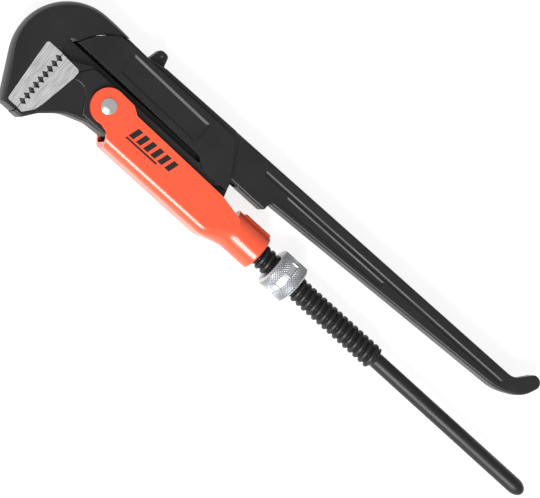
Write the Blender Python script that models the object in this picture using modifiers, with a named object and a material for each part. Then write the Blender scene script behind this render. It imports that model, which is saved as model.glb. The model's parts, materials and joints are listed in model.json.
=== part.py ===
"""A Swedish-pattern pipe wrench with jaws at 90 degrees, lying flat on its side.

The drawing frame has its zero on the pivot rivet's axis, half way through the
tool's thickness.  X runs from the jaws towards the ends of the handles, Y towards
the main handle's back, and Z up through the thickness.  Sizes are in millimetres,
and place() carries them into the world frame, in metres, where the tool rests
on the floor and its box is centred on the origin.
"""
import math

import bmesh
import bpy
from mathutils import Matrix, Vector

MM = 0.001
CLEARANCE = 0.3  # gap between two pieces that touch on the real tool
SLIDE_GAP = 0.35  # gap each side of the shank in its slot
OVERRUN = 5.0  # how far a cutter runs past the faces that it cuts
ARC_STEP_DEG = 9.0  # turn between two points of an outline's arc
ROUND_STEPS = 40  # sides of a turned piece

# Pivot rivet
RIVET_SHAFT_R = 3.2
RIVET_HEAD_R = RIVET_SHAFT_R + 1.0
RIVET_HEAD_HEIGHT = 1.4
RIVET_DIMPLE_R = 1.3

# Sleeve: pressed steel sheet, folded to a channel, with a tubular neck
SHEET = 2.2
SLEEVE_HALF_WIDTH = 10.5
SLEEVE_BOTTOM_Y = -17.1
SLEEVE_FOLD_R = 5.0
SLEEVE_TOP_Y = 6.2
SLEEVE_FLOOR_START_X = 9.2
EAR_R = 9.9
EAR_FLAT_END_X = 9.8
NECK_START_X = 91.0
NECK_END_X = 109.0
NECK_WALL = 2.8
NECK_GAP = 0.8  # between the neck's bore and the thread's crests
CHANNEL_END_X = 80.0
LIP_HALF_WIDTH = 4.6
LIP_HEIGHT = 0.7

# Spindle: the threaded leg's round part
AXIS_Y = -2.7
THREAD_R = 6.4
THREAD_DEPTH = 1.2
THREAD_PITCH = 3.6
THREAD_START_X = 106.5
THREAD_END_X = 191.5
THREAD_STEPS = 20
NECK_R = THREAD_R + NECK_GAP + NECK_WALL
SPINDLE_NECK_R = 4.1
SPINDLE_NECK_OVERLAP = 3.0
ROD_R = 4.2
ROD_END_X = 294.5

# Adjusting nut
NUT_R = 10.75
NUT_START_X = 119.0
NUT_LENGTH = 15.6
NUT_CHAMFER = 1.0
NUT_POCKETS = 8
NUT_POCKET_DEPTH = 0.7
NUT_POCKET_WIDTH = 3.4
NUT_POCKET_LENGTH = 7.0

# Main leg's back edge, and the box's round end, which the hook's shoulder fits
BACK_Y = 35.4
BACK_RISE = 2.5  # how much the back edge climbs between the rivet and the foot
BOX_ARC_R = BACK_Y + 1.2

# Jaws
TOOTH_LINE_X = 1.7 - BOX_ARC_R
JAW_GAP = 0.5
JAW_BASE_Y = 4.6
TOOTH_PITCH = 3.6
TOOTH_COUNT = 9
TOOTH_DEPTH = 2.2
TOOTH_HALF_WIDTH = 1.5
FIRST_TOOTH_Y = 1.6
LAST_TOOTH_Y = FIRST_TOOTH_Y - (TOOTH_COUNT - 1) * TOOTH_PITCH
BOSS_TIP_Y = LAST_TOOTH_Y - TOOTH_HALF_WIDTH - 2.7
JAW_TIP_Y = BOSS_TIP_Y - 2.4
HOOK_HALF = 8.0
HOOK_CENTRE = (TOOTH_LINE_X + 5.4, 5.0)
HOOK_R = BACK_Y + 0.5 - HOOK_CENTRE[1]
HOOK_TIP_X = TOOTH_LINE_X - 8.5
BOSS_PROUD = 0.5  # how far a ground jaw flank stands above the forging beside it
LOWER_JAW_HALF = 7.2
LOWER_TIP_X = TOOTH_LINE_X + 4.7

# Shank: the threaded leg's flat part
SHANK_HALF = 4.3
SHANK_TOP_Y = 13.5
SHANK_BOTTOM_Y = 5.0
SHANK_STEP_X = 50.0
SHANK_END_X = 77.0
SHANK_END_HALF_HEIGHT = 4.4

# Main leg: box, arms and handle
BOX_HALF = 9.2
BOX_LOW_LEFT_Y = 14.6
BOX_LOW_RIGHT = (52.0, 12.8)
TAB_LOW_Y = 8.7
TAB_START_X = 57.5
TAB_END_X = 73.2
SLOT_TOP_Y = 17.5
SLOT_FLOOR_END_X = 9.5
SLOT_FLOOR_SLOPE_DEG = 7.0  # lets the shank follow the sleeve as it swings on the rivet
SLOT_END_X = 78.0
ARM_HALF = SLEEVE_HALF_WIDTH - SHEET - CLEARANCE
ARM_TOP_Y = 10.5
ARM_BOTTOM_Y = -12.0
ARM_END_X = 66.0
WINDOW_END_X = 54.5
HANDLE_HALF = 6.5
BELLY_Y = 15.1
BELLY_END_X = 96.4
BELLY_STEP = 4.3
FOOT_BEND_X = 248.0
FOOT_R = 3.9
FOOT_END = (FOOT_BEND_X + 13.6, BACK_Y + BACK_RISE + 4.3)
GROOVE_HALF_WIDTH = 1.2
GROOVE_DEPTH = 0.8
GROOVE_START_X = 86.0
GROOVE_INSET = 6.0
PANEL_DEPTH = 0.6
PANEL_START_X = -7.0
PANEL_END_X = 45.8
PANEL_HEIGHT = 10.8
LUG_HALF = 4.5
LUG_TOP_Y = BACK_Y + 6.4
LUG_CENTRE_X = 5.4
LUG_TIP_HALF = 2.9
LUG_BASE_HALF = 5.8

# Leaf spring
SPRING_THICKNESS = 0.8
SPRING_HALF_WIDTH = 3.8
SPRING_START_X = 16.0
SPRING_END_X = 70.0
SPRING_BOW = 6.0

# Place of the rivet in the world
HALF_THICKNESS = SLEEVE_HALF_WIDTH + CLEARANCE + RIVET_HEAD_HEIGHT
X_MIDDLE = (HOOK_CENTRE[0] - HOOK_R + ROD_END_X) / 2
Y_MIDDLE = (FOOT_END[1] + FOOT_R + JAW_TIP_Y) / 2
RIVET_PLACE = Matrix.Translation(Vector((-X_MIDDLE, -Y_MIDDLE, HALF_THICKNESS)) * MM)


# ---- outlines -------------------------------------------------------------------------


def arc(centre, radius, start_deg, end_deg):
    """Points on an arc round a centre, from one angle to the other."""
    steps = max(2, round(abs(end_deg - start_deg) / ARC_STEP_DEG))
    points = []
    for step in range(steps + 1):
        angle = math.radians(start_deg + (end_deg - start_deg) * step / steps)
        points.append((centre[0] + radius * math.cos(angle), centre[1] + radius * math.sin(angle)))
    return points


def rounded(corners):
    """Turn corners given as (x, y, fillet radius) into a closed outline."""
    outline = []
    for index, (x, y, radius) in enumerate(corners):
        corner = Vector((x, y))
        if radius == 0:
            outline.append(tuple(corner))
            continue
        to_last = (Vector(corners[index - 1][:2]) - corner).normalized()
        to_next = (Vector(corners[(index + 1) % len(corners)][:2]) - corner).normalized()
        half = to_last.angle(to_next) / 2
        centre = corner + (to_last + to_next).normalized() * radius / math.sin(half)
        start = corner + to_last * radius / math.tan(half) - centre
        end = corner + to_next * radius / math.tan(half) - centre
        first = math.degrees(math.atan2(start.y, start.x))
        turn = math.degrees(-start.angle_signed(end))
        outline += arc(centre, radius, first, first + turn)
    return outline


def plain(points):
    """Corners without a fillet, for an outline passed to rounded()."""
    return [(x, y, 0.0) for x, y in points]


def tangent_angle(centre, radius, point):
    """Angle at which a line from a point below touches a circle's left side."""
    offset = Vector(point) - Vector(centre)
    return math.degrees(math.atan2(offset.y, offset.x) - math.acos(radius / offset.length)) % 360


def back_edge_y(x):
    """Height of the main leg's straight back edge at one place."""
    return BACK_Y + BACK_RISE * x / FOOT_BEND_X


def toothed_line(x, depth):
    """A jaw's biting edge, from its base to its tip, with V notches of a signed depth."""
    points = [(x, JAW_BASE_Y)]
    for tooth in range(TOOTH_COUNT):
        y = FIRST_TOOTH_Y - tooth * TOOTH_PITCH
        points += [(x, y + TOOTH_HALF_WIDTH), (x + depth, y), (x, y - TOOTH_HALF_WIDTH)]
    points.append((x, JAW_TIP_Y))
    return points


def boss_teeth(x, depth):
    """The biting edge of a jaw's ground flank, which ends short of the jaw's tip."""
    return toothed_line(x, depth)[:-1] + [(x, BOSS_TIP_Y)]


# ---- solids ---------------------------------------------------------------------------


def collection(name):
    """A new collection in the scene."""
    group = bpy.data.collections.new(name)
    bpy.context.scene.collection.children.link(group)
    return group


def add_object(name, mesh, group):
    """A new object with this mesh, placed so that the drawing's zero is on the rivet."""
    piece = bpy.data.objects.new(name, mesh)
    group.objects.link(piece)
    piece.matrix_world = RIVET_PLACE
    return piece


def weld(mesh):
    """Join doubled points and turn the faces out."""
    work = bmesh.new()
    work.from_mesh(mesh)
    bmesh.ops.remove_doubles(work, verts=work.verts, dist=0.001 * MM)
    bmesh.ops.recalc_face_normals(work, faces=work.faces)
    work.to_mesh(mesh)
    work.free()


def extrude(outline, low, high, turn=None):
    """A mesh that fills a closed outline between two heights, turned if asked."""
    curve = bpy.data.curves.new("outline", "CURVE")
    curve.dimensions = "2D"
    curve.fill_mode = "BOTH"
    curve.extrude = (high - low) / 2 * MM
    spline = curve.splines.new("POLY")
    spline.points.add(len(outline) - 1)
    for point, (x, y) in zip(spline.points, outline):
        point.co = (x * MM, y * MM, 0.0, 1.0)
    spline.use_cyclic_u = True
    holder = bpy.data.objects.new("outline", curve)
    mesh = bpy.data.meshes.new_from_object(holder)
    mesh.transform(Matrix.Translation((0.0, 0.0, (low + high) / 2 * MM)))
    if turn is not None:
        mesh.transform(turn)
    bpy.data.objects.remove(holder)
    weld(mesh)
    return mesh


def turned(profile, steps=ROUND_STEPS):
    """A solid of revolution about Z: (radius, z) points from top to bottom."""
    mesh = bpy.data.meshes.new("profile")
    points = [(radius * MM, 0.0, z * MM) for radius, z in profile]
    mesh.from_pydata(points, [(i, i + 1) for i in range(len(points) - 1)], [])
    holder = bpy.data.objects.new("profile", mesh)
    bpy.context.scene.collection.objects.link(holder)
    screw = holder.modifiers.new("turn", "SCREW")
    screw.steps = steps
    screw.render_steps = steps
    screw.use_merge_vertices = True
    screw.merge_threshold = 0.001 * MM
    return baked(holder)


def baked(holder):
    """The mesh of an object with its modifiers applied; the object goes."""
    bpy.context.view_layer.update()
    shape = holder.evaluated_get(bpy.context.evaluated_depsgraph_get())
    mesh = bpy.data.meshes.new_from_object(shape)
    bpy.data.objects.remove(holder)
    weld(mesh)
    return mesh


ALONG_X = Matrix.Rotation(math.radians(90), 4, "Y")  # local Z becomes world X
ACROSS_X = Matrix(((0, 0, 1, 0), (0, 1, 0, 0), (-1, 0, 0, 0), (0, 0, 0, 1)))  # drawing of Y against -Z


def on_spindle(mesh):
    """Lay a piece turned about Z along the spindle's axis."""
    mesh.transform(Matrix.Translation((0.0, AXIS_Y * MM, 0.0)) @ ALONG_X)
    return mesh


def cylinder(radius, low, high, steps=ROUND_STEPS):
    """A round bar about Z."""
    return turned([(0.0, high), (radius, high), (radius, low), (0.0, low)], steps)


def combine(piece, tool, operation):
    """Add, cut or intersect a piece with a tool object through a Boolean modifier."""
    step = piece.modifiers.new(f"{operation.lower()} {tool.name}", "BOOLEAN")
    step.operation = operation
    step.solver = "EXACT"
    step.object = tool


def chamfer(piece, width, angle_deg=50.0):
    """Take the sharpness off a forging's edges."""
    step = piece.modifiers.new("edges", "BEVEL")
    step.width = width * MM
    step.segments = 1
    step.limit_method = "ANGLE"
    step.angle_limit = math.radians(angle_deg)


def painted(piece, colour, roughness, metallic):
    """Give a piece its own material."""
    material = bpy.data.materials.new(piece.name)
    material.use_nodes = True
    shader = material.node_tree.nodes["Principled BSDF"]
    shader.inputs["Base Color"].default_value = (*colour, 1.0)
    shader.inputs["Roughness"].default_value = roughness
    shader.inputs["Metallic"].default_value = metallic
    material.diffuse_color = (*colour, 1.0)
    piece.data.materials.clear()
    piece.data.materials.append(material)


def smooth(piece):
    """Shade the round pieces smooth."""
    for face in piece.data.polygons:
        face.use_smooth = True


# ---- pieces ---------------------------------------------------------------------------


def handle_outline():
    """Belly, tapering bar and upturned foot of the main leg."""
    low = [
        (TAB_START_X, BELLY_Y, 0.0),
        (BELLY_END_X, BELLY_Y, 1.5),
        (BELLY_END_X, BELLY_Y + BELLY_STEP, 2.0),
        (FOOT_BEND_X, FOOT_END[1] - 15.2, 26.0),
        (FOOT_END[0] + 0.4, FOOT_END[1] - 9.2, 14.0),
    ]
    tip = arc(FOOT_END, FOOT_R, -20.0, 150.0)
    back = [
        (FOOT_BEND_X + 3.5, back_edge_y(FOOT_BEND_X), 8.0),
        (TAB_START_X, back_edge_y(TAB_START_X), 0.0),
    ]
    return rounded(low + plain(tip) + back)


def box_outline():
    """The raised box at the main leg's head, with the tab at its far end."""
    left_low = math.degrees(math.asin(BOX_LOW_LEFT_Y / BOX_ARC_R))
    left_high = math.degrees(math.asin((BACK_Y - 1.6) / BOX_ARC_R))
    end = arc((0.0, 0.0), BOX_ARC_R, 180 - left_high, 180 - left_low)
    low = [
        (*BOX_LOW_RIGHT, 3.0),
        (TAB_START_X, TAB_LOW_Y, 1.0),
        (TAB_END_X, TAB_LOW_Y, 0.8),
        (72.0, 14.0, 0.0),
        (69.0, 21.0, 12.0),
        (61.0, back_edge_y(60.0), 6.0),
        (11.0, back_edge_y(11.0), 2.0),
        (0.0, BACK_Y - 2.0, 0.0),
    ]
    return rounded(plain(end) + low)


def lug_outline():
    """The lug on the back of the box."""
    return rounded([
        (LUG_CENTRE_X - LUG_BASE_HALF + 0.6, BACK_Y - 4.0, 0.0),
        (LUG_CENTRE_X - LUG_TIP_HALF, LUG_TOP_Y, 2.7),
        (LUG_CENTRE_X + LUG_TIP_HALF, LUG_TOP_Y, 2.7),
        (LUG_CENTRE_X + LUG_BASE_HALF, BACK_Y - 4.0, 0.0),
    ])


def lower_jaw_outline():
    """The fixed jaw, back to the arms."""
    under = [
        (LOWER_TIP_X, JAW_TIP_Y, 1.2),
        (TOOTH_LINE_X + 10.3, -26.2, 8.0),
        (TOOTH_LINE_X + 19.9, -17.6, 20.0),
        (-2.0, -12.8, 12.0),
        (SLOT_FLOOR_END_X, ARM_BOTTOM_Y, 0.0),
    ]
    upper = [
        (SLOT_FLOOR_END_X, 0.0, 0.0),
        (-18.0, 9.0, 0.0),
        (TOOTH_LINE_X + 11.7, JAW_BASE_Y, 1.0),
    ]
    return rounded(plain(toothed_line(TOOTH_LINE_X, TOOTH_DEPTH)) + under + upper)


def lower_boss_outline():
    """The ground flank of the fixed jaw."""
    far_side = [
        (TOOTH_LINE_X + 3.3, BOSS_TIP_Y, 0.5),
        (TOOTH_LINE_X + 7.5, BOSS_TIP_Y + 5.4, 4.0),
        (TOOTH_LINE_X + 8.9, BOSS_TIP_Y + 10.4, 6.0),
        (TOOTH_LINE_X + 12.3, -1.0, 3.0),
        (TOOTH_LINE_X + 12.3, JAW_BASE_Y - 0.6, 1.8),
    ]
    return rounded(plain(boss_teeth(TOOTH_LINE_X, TOOTH_DEPTH)) + far_side)


def hook_boss_outline():
    """The ground flank of the hook jaw."""
    line_x = TOOTH_LINE_X - JAW_GAP
    far_side = [
        (line_x - 6.6, BOSS_TIP_Y, 1.5),
        (line_x - 10.2, JAW_BASE_Y, 1.5),
    ]
    return rounded(plain(boss_teeth(line_x, -TOOTH_DEPTH)) + far_side)


def arm_outline():
    """Side wall that ties the fixed jaw to the box, inside the sleeve."""
    return rounded([
        (TOOTH_LINE_X + 12.5, JAW_BASE_Y - 0.6, 0.0),
        (TOOTH_LINE_X + 12.9, -1.2, 0.0),
        (-16.0, -0.4, 2.0),
        (-12.6, -2.9, 3.0),
        (-7.4, ARM_BOTTOM_Y, 0.0),
        (ARM_END_X, ARM_BOTTOM_Y, 4.0),
        (ARM_END_X, 4.0, 4.0),
        (TAB_END_X - 1.5, TAB_LOW_Y + 1.0, 0.0),
        (TAB_END_X - 3.0, SLOT_TOP_Y + 2.0, 0.0),
        (WINDOW_END_X, SLOT_TOP_Y + 2.0, 0.0),
        (WINDOW_END_X, ARM_TOP_Y, 1.6),
        (TOOTH_LINE_X + 17.4, ARM_TOP_Y, 3.0),
    ])


def slot_outline():
    """The slot through the main leg that the shank slides in."""
    floor_drop = SLOT_FLOOR_END_X * math.tan(math.radians(SLOT_FLOOR_SLOPE_DEG))
    return [
        (-BOX_ARC_R - OVERRUN, JAW_BASE_Y),
        (0.0, JAW_BASE_Y),
        (SLOT_FLOOR_END_X, JAW_BASE_Y - floor_drop),
        (SLOT_FLOOR_END_X, ARM_BOTTOM_Y - OVERRUN),
        (SLOT_END_X, ARM_BOTTOM_Y - OVERRUN),
        (SLOT_END_X, SLOT_TOP_Y),
        (-BOX_ARC_R - OVERRUN, SLOT_TOP_Y),
    ]


def panel_outline():
    """The shallow panel in the box's face, parallel to the box's lower edge."""
    drop = (BOX_LOW_LEFT_Y - BOX_LOW_RIGHT[1]) / (BOX_LOW_RIGHT[0] + BOX_ARC_R)
    low_left = BOX_LOW_LEFT_Y + 3.2
    low_right = low_left - drop * (PANEL_END_X - PANEL_START_X)
    return rounded([
        (PANEL_START_X, low_left, 1.0),
        (PANEL_END_X, low_right, 1.0),
        (PANEL_END_X, low_right + PANEL_HEIGHT, 1.0),
        (PANEL_START_X, low_left + PANEL_HEIGHT, 1.0),
    ])


def groove_outline():
    """The long groove along the handle, parallel to its back edge."""
    start = back_edge_y(GROOVE_START_X) - GROOVE_INSET
    end = back_edge_y(FOOT_BEND_X) - GROOVE_INSET
    return rounded([
        (GROOVE_START_X, start - GROOVE_HALF_WIDTH, GROOVE_HALF_WIDTH * 0.9),
        (FOOT_BEND_X, end - GROOVE_HALF_WIDTH, GROOVE_HALF_WIDTH * 0.9),
        (FOOT_BEND_X, end + GROOVE_HALF_WIDTH, GROOVE_HALF_WIDTH * 0.9),
        (GROOVE_START_X, start + GROOVE_HALF_WIDTH, GROOVE_HALF_WIDTH * 0.9),
    ])


def both_faces(outline, half, depth, name, group):
    """Two shallow cutters, one in each face of a plate."""
    tools = []
    for side, face in (("top", 1), ("bottom", -1)):
        inner = face * (half - depth)
        outer = face * (half + OVERRUN)
        mesh = extrude(outline, min(inner, outer), max(inner, outer))
        tools.append(add_object(f"{name}_{side}", mesh, group))
    return tools


def rivet_hole(name, group):
    """A cutter for the rivet's hole."""
    reach = SLEEVE_HALF_WIDTH + OVERRUN
    return add_object(name, cylinder(RIVET_SHAFT_R + CLEARANCE, -reach, reach), group)


def build_main_leg(parts, cutters):
    """Handle, box, arms and fixed jaw, forged in one."""
    leg = add_object("main_leg", extrude(handle_outline(), -HANDLE_HALF, HANDLE_HALF), parts)
    chamfer(leg, 1.1)
    members = (
        ("box_body", box_outline(), BOX_HALF, 0.9),
        ("lug_body", lug_outline(), LUG_HALF, 0.8),
        ("arm_body", arm_outline(), ARM_HALF, 0.0),
        ("lower_jaw_body", lower_jaw_outline(), LOWER_JAW_HALF, 0.0),
        ("lower_boss_body", lower_boss_outline(), LOWER_JAW_HALF + BOSS_PROUD, 0.0),
    )
    for name, outline, half, edge in members:
        body = add_object(name, extrude(outline, -half, half), cutters)
        if edge > 0:
            chamfer(body, edge)
        combine(leg, body, "UNION")
    slot_half = SHANK_HALF + SLIDE_GAP
    combine(leg, add_object("slot", extrude(slot_outline(), -slot_half, slot_half), cutters), "DIFFERENCE")
    combine(leg, rivet_hole("leg_hole", cutters), "DIFFERENCE")
    for tool in both_faces(panel_outline(), BOX_HALF, PANEL_DEPTH, "panel", cutters):
        combine(leg, tool, "DIFFERENCE")
    for tool in both_faces(groove_outline(), HANDLE_HALF, GROOVE_DEPTH, "groove", cutters):
        combine(leg, tool, "DIFFERENCE")
    painted(leg, (0.022, 0.022, 0.025), 0.42, 0.0)


def hook_outline():
    """The hook jaw, from its shoulder round to its tip and up the teeth."""
    line_x = TOOTH_LINE_X - JAW_GAP
    shoulder_r = BOX_ARC_R + CLEARANCE
    tip = (HOOK_TIP_X, JAW_TIP_Y)
    back = arc(HOOK_CENTRE, HOOK_R, 86.0, tangent_angle(HOOK_CENTRE, HOOK_R, tip))
    shoulder_low = math.degrees(math.asin((BOX_LOW_LEFT_Y + 0.6) / shoulder_r))
    shoulder_high = math.degrees(math.asin((BACK_Y - 1.4) / shoulder_r))
    throat = [
        (line_x - 1.8, JAW_BASE_Y + 0.6, 0.0),
        (line_x - 2.7, 9.0, 3.0),
        (line_x - 2.2, BOX_LOW_LEFT_Y - 1.6, 1.5),
    ]
    shoulder = arc((0.0, 0.0), shoulder_r, 180 - shoulder_low, 180 - shoulder_high)
    teeth = toothed_line(line_x, -TOOTH_DEPTH)
    teeth.reverse()
    return rounded(plain(back) + [(*tip, 1.5)] + plain(teeth) + throat + plain(shoulder))


def shank_outline():
    """The flat bar between the hook and the spindle."""
    spindle_low = AXIS_Y - SHANK_END_HALF_HEIGHT
    spindle_high = AXIS_Y + SHANK_END_HALF_HEIGHT
    root_x = HOOK_CENTRE[0] - HOOK_R / 2
    return [
        (root_x, SHANK_BOTTOM_Y),
        (SHANK_STEP_X, SHANK_BOTTOM_Y),
        (SHANK_STEP_X + 6.0, spindle_low),
        (SHANK_END_X, spindle_low),
        (SHANK_END_X, spindle_high),
        (SHANK_END_X - 4.0, SHANK_TOP_Y),
        (root_x, SHANK_TOP_Y),
    ]


def thread_mesh():
    """A right-hand round thread, cut square at both ends."""
    length = THREAD_END_X - THREAD_START_X
    turns = math.ceil(length / THREAD_PITCH) + 2
    root = (THREAD_R - THREAD_DEPTH) * MM
    quarter = THREAD_PITCH / 4 * MM
    middle = (THREAD_R - THREAD_DEPTH / 2) * MM
    wave = [root, middle, THREAD_R * MM, middle, root]
    mesh = bpy.data.meshes.new("thread")
    points = [(radius, 0.0, quarter * i) for i, radius in enumerate(wave)]
    mesh.from_pydata(points, [(i, i + 1) for i in range(len(points) - 1)], [])
    holder = bpy.data.objects.new("thread", mesh)
    bpy.context.scene.collection.objects.link(holder)
    screw = holder.modifiers.new("thread", "SCREW")
    screw.iterations = turns
    screw.screw_offset = THREAD_PITCH * MM
    screw.steps = THREAD_STEPS
    screw.render_steps = THREAD_STEPS
    helix = baked(holder)
    helix.transform(Matrix.Translation((0.0, 0.0, (THREAD_START_X - 1.5 * THREAD_PITCH) * MM)))
    work = bmesh.new()
    work.from_mesh(helix)
    for height, up in ((THREAD_START_X, -1.0), (THREAD_END_X, 1.0)):
        everything = work.verts[:] + work.edges[:] + work.faces[:]
        bmesh.ops.bisect_plane(
            work, geom=everything, plane_co=(0, 0, height * MM), plane_no=(0, 0, up), clear_outer=True)
    rims = [edge for edge in work.edges if edge.is_boundary]
    bmesh.ops.holes_fill(work, edges=rims, sides=0)
    bmesh.ops.triangulate(work, faces=[face for face in work.faces if len(face.verts) > 4])
    bmesh.ops.recalc_face_normals(work, faces=work.faces)
    work.to_mesh(helix)
    work.free()
    return on_spindle(helix)


def rod_mesh():
    """The plain round handle at the spindle's end, with a domed tip."""
    start = THREAD_END_X - 2.0
    dome = arc((ROD_END_X - ROD_R, 0.0), ROD_R, 0.0, 90.0)
    profile = [(across, along) for along, across in dome]
    return on_spindle(turned(profile + [(ROD_R, start), (0.0, start)]))


def build_threaded_leg(parts, cutters):
    """Hook jaw, shank, spindle and rod handle, forged in one."""
    leg = add_object("threaded_leg", extrude(hook_outline(), -HOOK_HALF, HOOK_HALF), parts)
    neck_start = SHANK_END_X - SPINDLE_NECK_OVERLAP
    neck = on_spindle(cylinder(SPINDLE_NECK_R, neck_start, THREAD_START_X + SPINDLE_NECK_OVERLAP))
    members = (
        ("hook_boss_body", extrude(hook_boss_outline(), -HOOK_HALF - BOSS_PROUD, HOOK_HALF + BOSS_PROUD)),
        ("shank_body", extrude(shank_outline(), -SHANK_HALF, SHANK_HALF)),
        ("spindle_neck_body", neck),
        ("thread_body", thread_mesh()),
        ("rod_body", rod_mesh()),
    )
    for name, mesh in members:
        combine(leg, add_object(name, mesh, cutters), "UNION")
    painted(leg, (0.022, 0.022, 0.025), 0.42, 0.0)


def sleeve_outline():
    """The channel's side view, from its floor round to the ear and the notch under it."""
    neck_bottom = AXIS_Y - NECK_R
    floor = [
        (SLEEVE_FLOOR_START_X, SLEEVE_BOTTOM_Y, 0.0),
        (CHANNEL_END_X - 2.0, SLEEVE_BOTTOM_Y, 20.0),
        (NECK_START_X, neck_bottom, 8.0),
        (NECK_START_X + 2.0, neck_bottom, 0.0),
    ]
    top = [
        (NECK_START_X + 2.0, 1.5, 0.0),
        (NECK_START_X - 1.5, 2.4, 0.0),
        (CHANNEL_END_X - 5.0, 5.2, 10.0),
        (EAR_FLAT_END_X + 4.7, SLEEVE_TOP_Y, 1.5),
        (EAR_FLAT_END_X, EAR_R - 0.4, 1.5),
    ]
    ear = arc((0.0, 0.0), EAR_R, 82.0, 286.0)
    notch = [(SLEEVE_FLOOR_START_X - 2.0, -10.2, 1.5)]
    return rounded(floor + top + plain(ear) + notch)


def build_sleeve(parts, cutters):
    """The folded sheet sleeve: two ears, a channel and a neck."""
    half = SLEEVE_HALF_WIDTH
    sleeve = add_object("sleeve", extrude(sleeve_outline(), -half, half), parts)
    section = rounded([
        (-half, SLEEVE_BOTTOM_Y, SLEEVE_FOLD_R),
        (half, SLEEVE_BOTTOM_Y, SLEEVE_FOLD_R),
        (half, EAR_R + OVERRUN, 0.0),
        (-half, EAR_R + OVERRUN, 0.0),
    ])
    fold = extrude(section, -EAR_R - OVERRUN, NECK_END_X + OVERRUN, ACROSS_X)
    combine(sleeve, add_object("fold_outside", fold, cutters), "INTERSECT")
    combine(sleeve, add_object("neck_body", neck_mesh(), cutters), "UNION")
    combine(sleeve, add_object("lip_body", lip_mesh(), cutters), "UNION")
    combine(sleeve, add_object("channel", channel_mesh(), cutters), "DIFFERENCE")
    bore = on_spindle(cylinder(THREAD_R + NECK_GAP, CHANNEL_END_X - OVERRUN, NECK_END_X + OVERRUN))
    combine(sleeve, add_object("neck_bore", bore, cutters), "DIFFERENCE")
    combine(sleeve, rivet_hole("sleeve_hole", cutters), "DIFFERENCE")
    painted(sleeve, (0.9, 0.13, 0.06), 0.3, 0.0)


def neck_mesh():
    """The round neck, with a softened rim."""
    rim = 1.0
    return on_spindle(turned([
        (0.0, NECK_END_X),
        (NECK_R - rim, NECK_END_X),
        (NECK_R, NECK_END_X - rim),
        (NECK_R, NECK_START_X - 4.0),
        (0.0, NECK_START_X - 4.0),
    ]))


def lip_mesh():
    """The lapped seam on the neck's side towards the main handle."""
    top = AXIS_Y + NECK_R + LIP_HEIGHT
    section = rounded([
        (-LIP_HALF_WIDTH, AXIS_Y + NECK_R - 2.5, 0.0),
        (LIP_HALF_WIDTH, AXIS_Y + NECK_R - 2.5, 0.0),
        (LIP_HALF_WIDTH, top, 2.0),
        (-LIP_HALF_WIDTH, top, 2.0),
    ])
    return extrude(section, NECK_START_X, NECK_END_X - 2.0, ACROSS_X)


def channel_mesh():
    """The hollow inside the channel, open at the top and at the jaws' end."""
    inside = SLEEVE_HALF_WIDTH - SHEET
    fold = SLEEVE_FOLD_R - SHEET
    bottom = SLEEVE_BOTTOM_Y + SHEET
    section = rounded([
        (-inside, bottom, fold),
        (inside, bottom, fold),
        (inside, EAR_R + OVERRUN, 0.0),
        (-inside, EAR_R + OVERRUN, 0.0),
    ])
    return extrude(section, -EAR_R - OVERRUN, CHANNEL_END_X, ACROSS_X)


def build_rivet(parts):
    """The pivot rivet with two domed heads."""
    under = SLEEVE_HALF_WIDTH + CLEARANCE
    top = under + RIVET_HEAD_HEIGHT
    edge = under + RIVET_HEAD_HEIGHT * 0.35
    head = [
        (0.0, top),
        (RIVET_DIMPLE_R, top),
        (RIVET_HEAD_R * 0.72, top - 0.35),
        (RIVET_HEAD_R, edge),
        (RIVET_HEAD_R, under),
        (RIVET_SHAFT_R, under),
    ]
    other_head = [(radius, -z) for radius, z in reversed(head)]
    rivet = add_object("pivot_rivet", turned(head + other_head), parts)
    smooth(rivet)
    painted(rivet, (0.72, 0.72, 0.72), 0.25, 1.0)


def build_nut(parts, cutters):
    """The adjusting nut, with finger pockets round its middle."""
    low = -NUT_LENGTH / 2
    high = NUT_LENGTH / 2
    bore = THREAD_R + CLEARANCE
    body = turned([
        (bore + 1.0, high),
        (NUT_R - NUT_CHAMFER, high),
        (NUT_R, high - NUT_CHAMFER),
        (NUT_R, low + NUT_CHAMFER),
        (NUT_R - NUT_CHAMFER, low),
        (bore + 1.0, low),
        (bore, low + 1.0),
        (bore, high - 1.0),
        (bore + 1.0, high),
    ])
    body.transform(ALONG_X)
    nut = add_object("adjusting_nut", body, parts)
    middle_x = NUT_START_X + NUT_LENGTH / 2
    offset = Matrix.Translation(Vector((middle_x, AXIS_Y, 0.0)) * MM)
    nut.matrix_world = RIVET_PLACE @ offset
    work = bmesh.new()
    for pocket in range(NUT_POCKETS):
        spin = Matrix.Rotation(math.tau * pocket / NUT_POCKETS, 4, "X")
        size = Matrix.Diagonal((NUT_POCKET_WIDTH * MM, NUT_POCKET_LENGTH * MM, OVERRUN * MM, 1.0))
        out = Matrix.Translation((0.0, 0.0, (NUT_R - NUT_POCKET_DEPTH + OVERRUN / 2) * MM))
        bmesh.ops.create_cube(work, size=1.0, matrix=spin @ out @ size)
    mesh = bpy.data.meshes.new("pockets")
    work.to_mesh(mesh)
    work.free()
    pockets = add_object("nut_pockets", mesh, cutters)
    pockets.matrix_world = nut.matrix_world
    combine(nut, pockets, "DIFFERENCE")
    painted(nut, (0.75, 0.76, 0.78), 0.28, 1.0)


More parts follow.
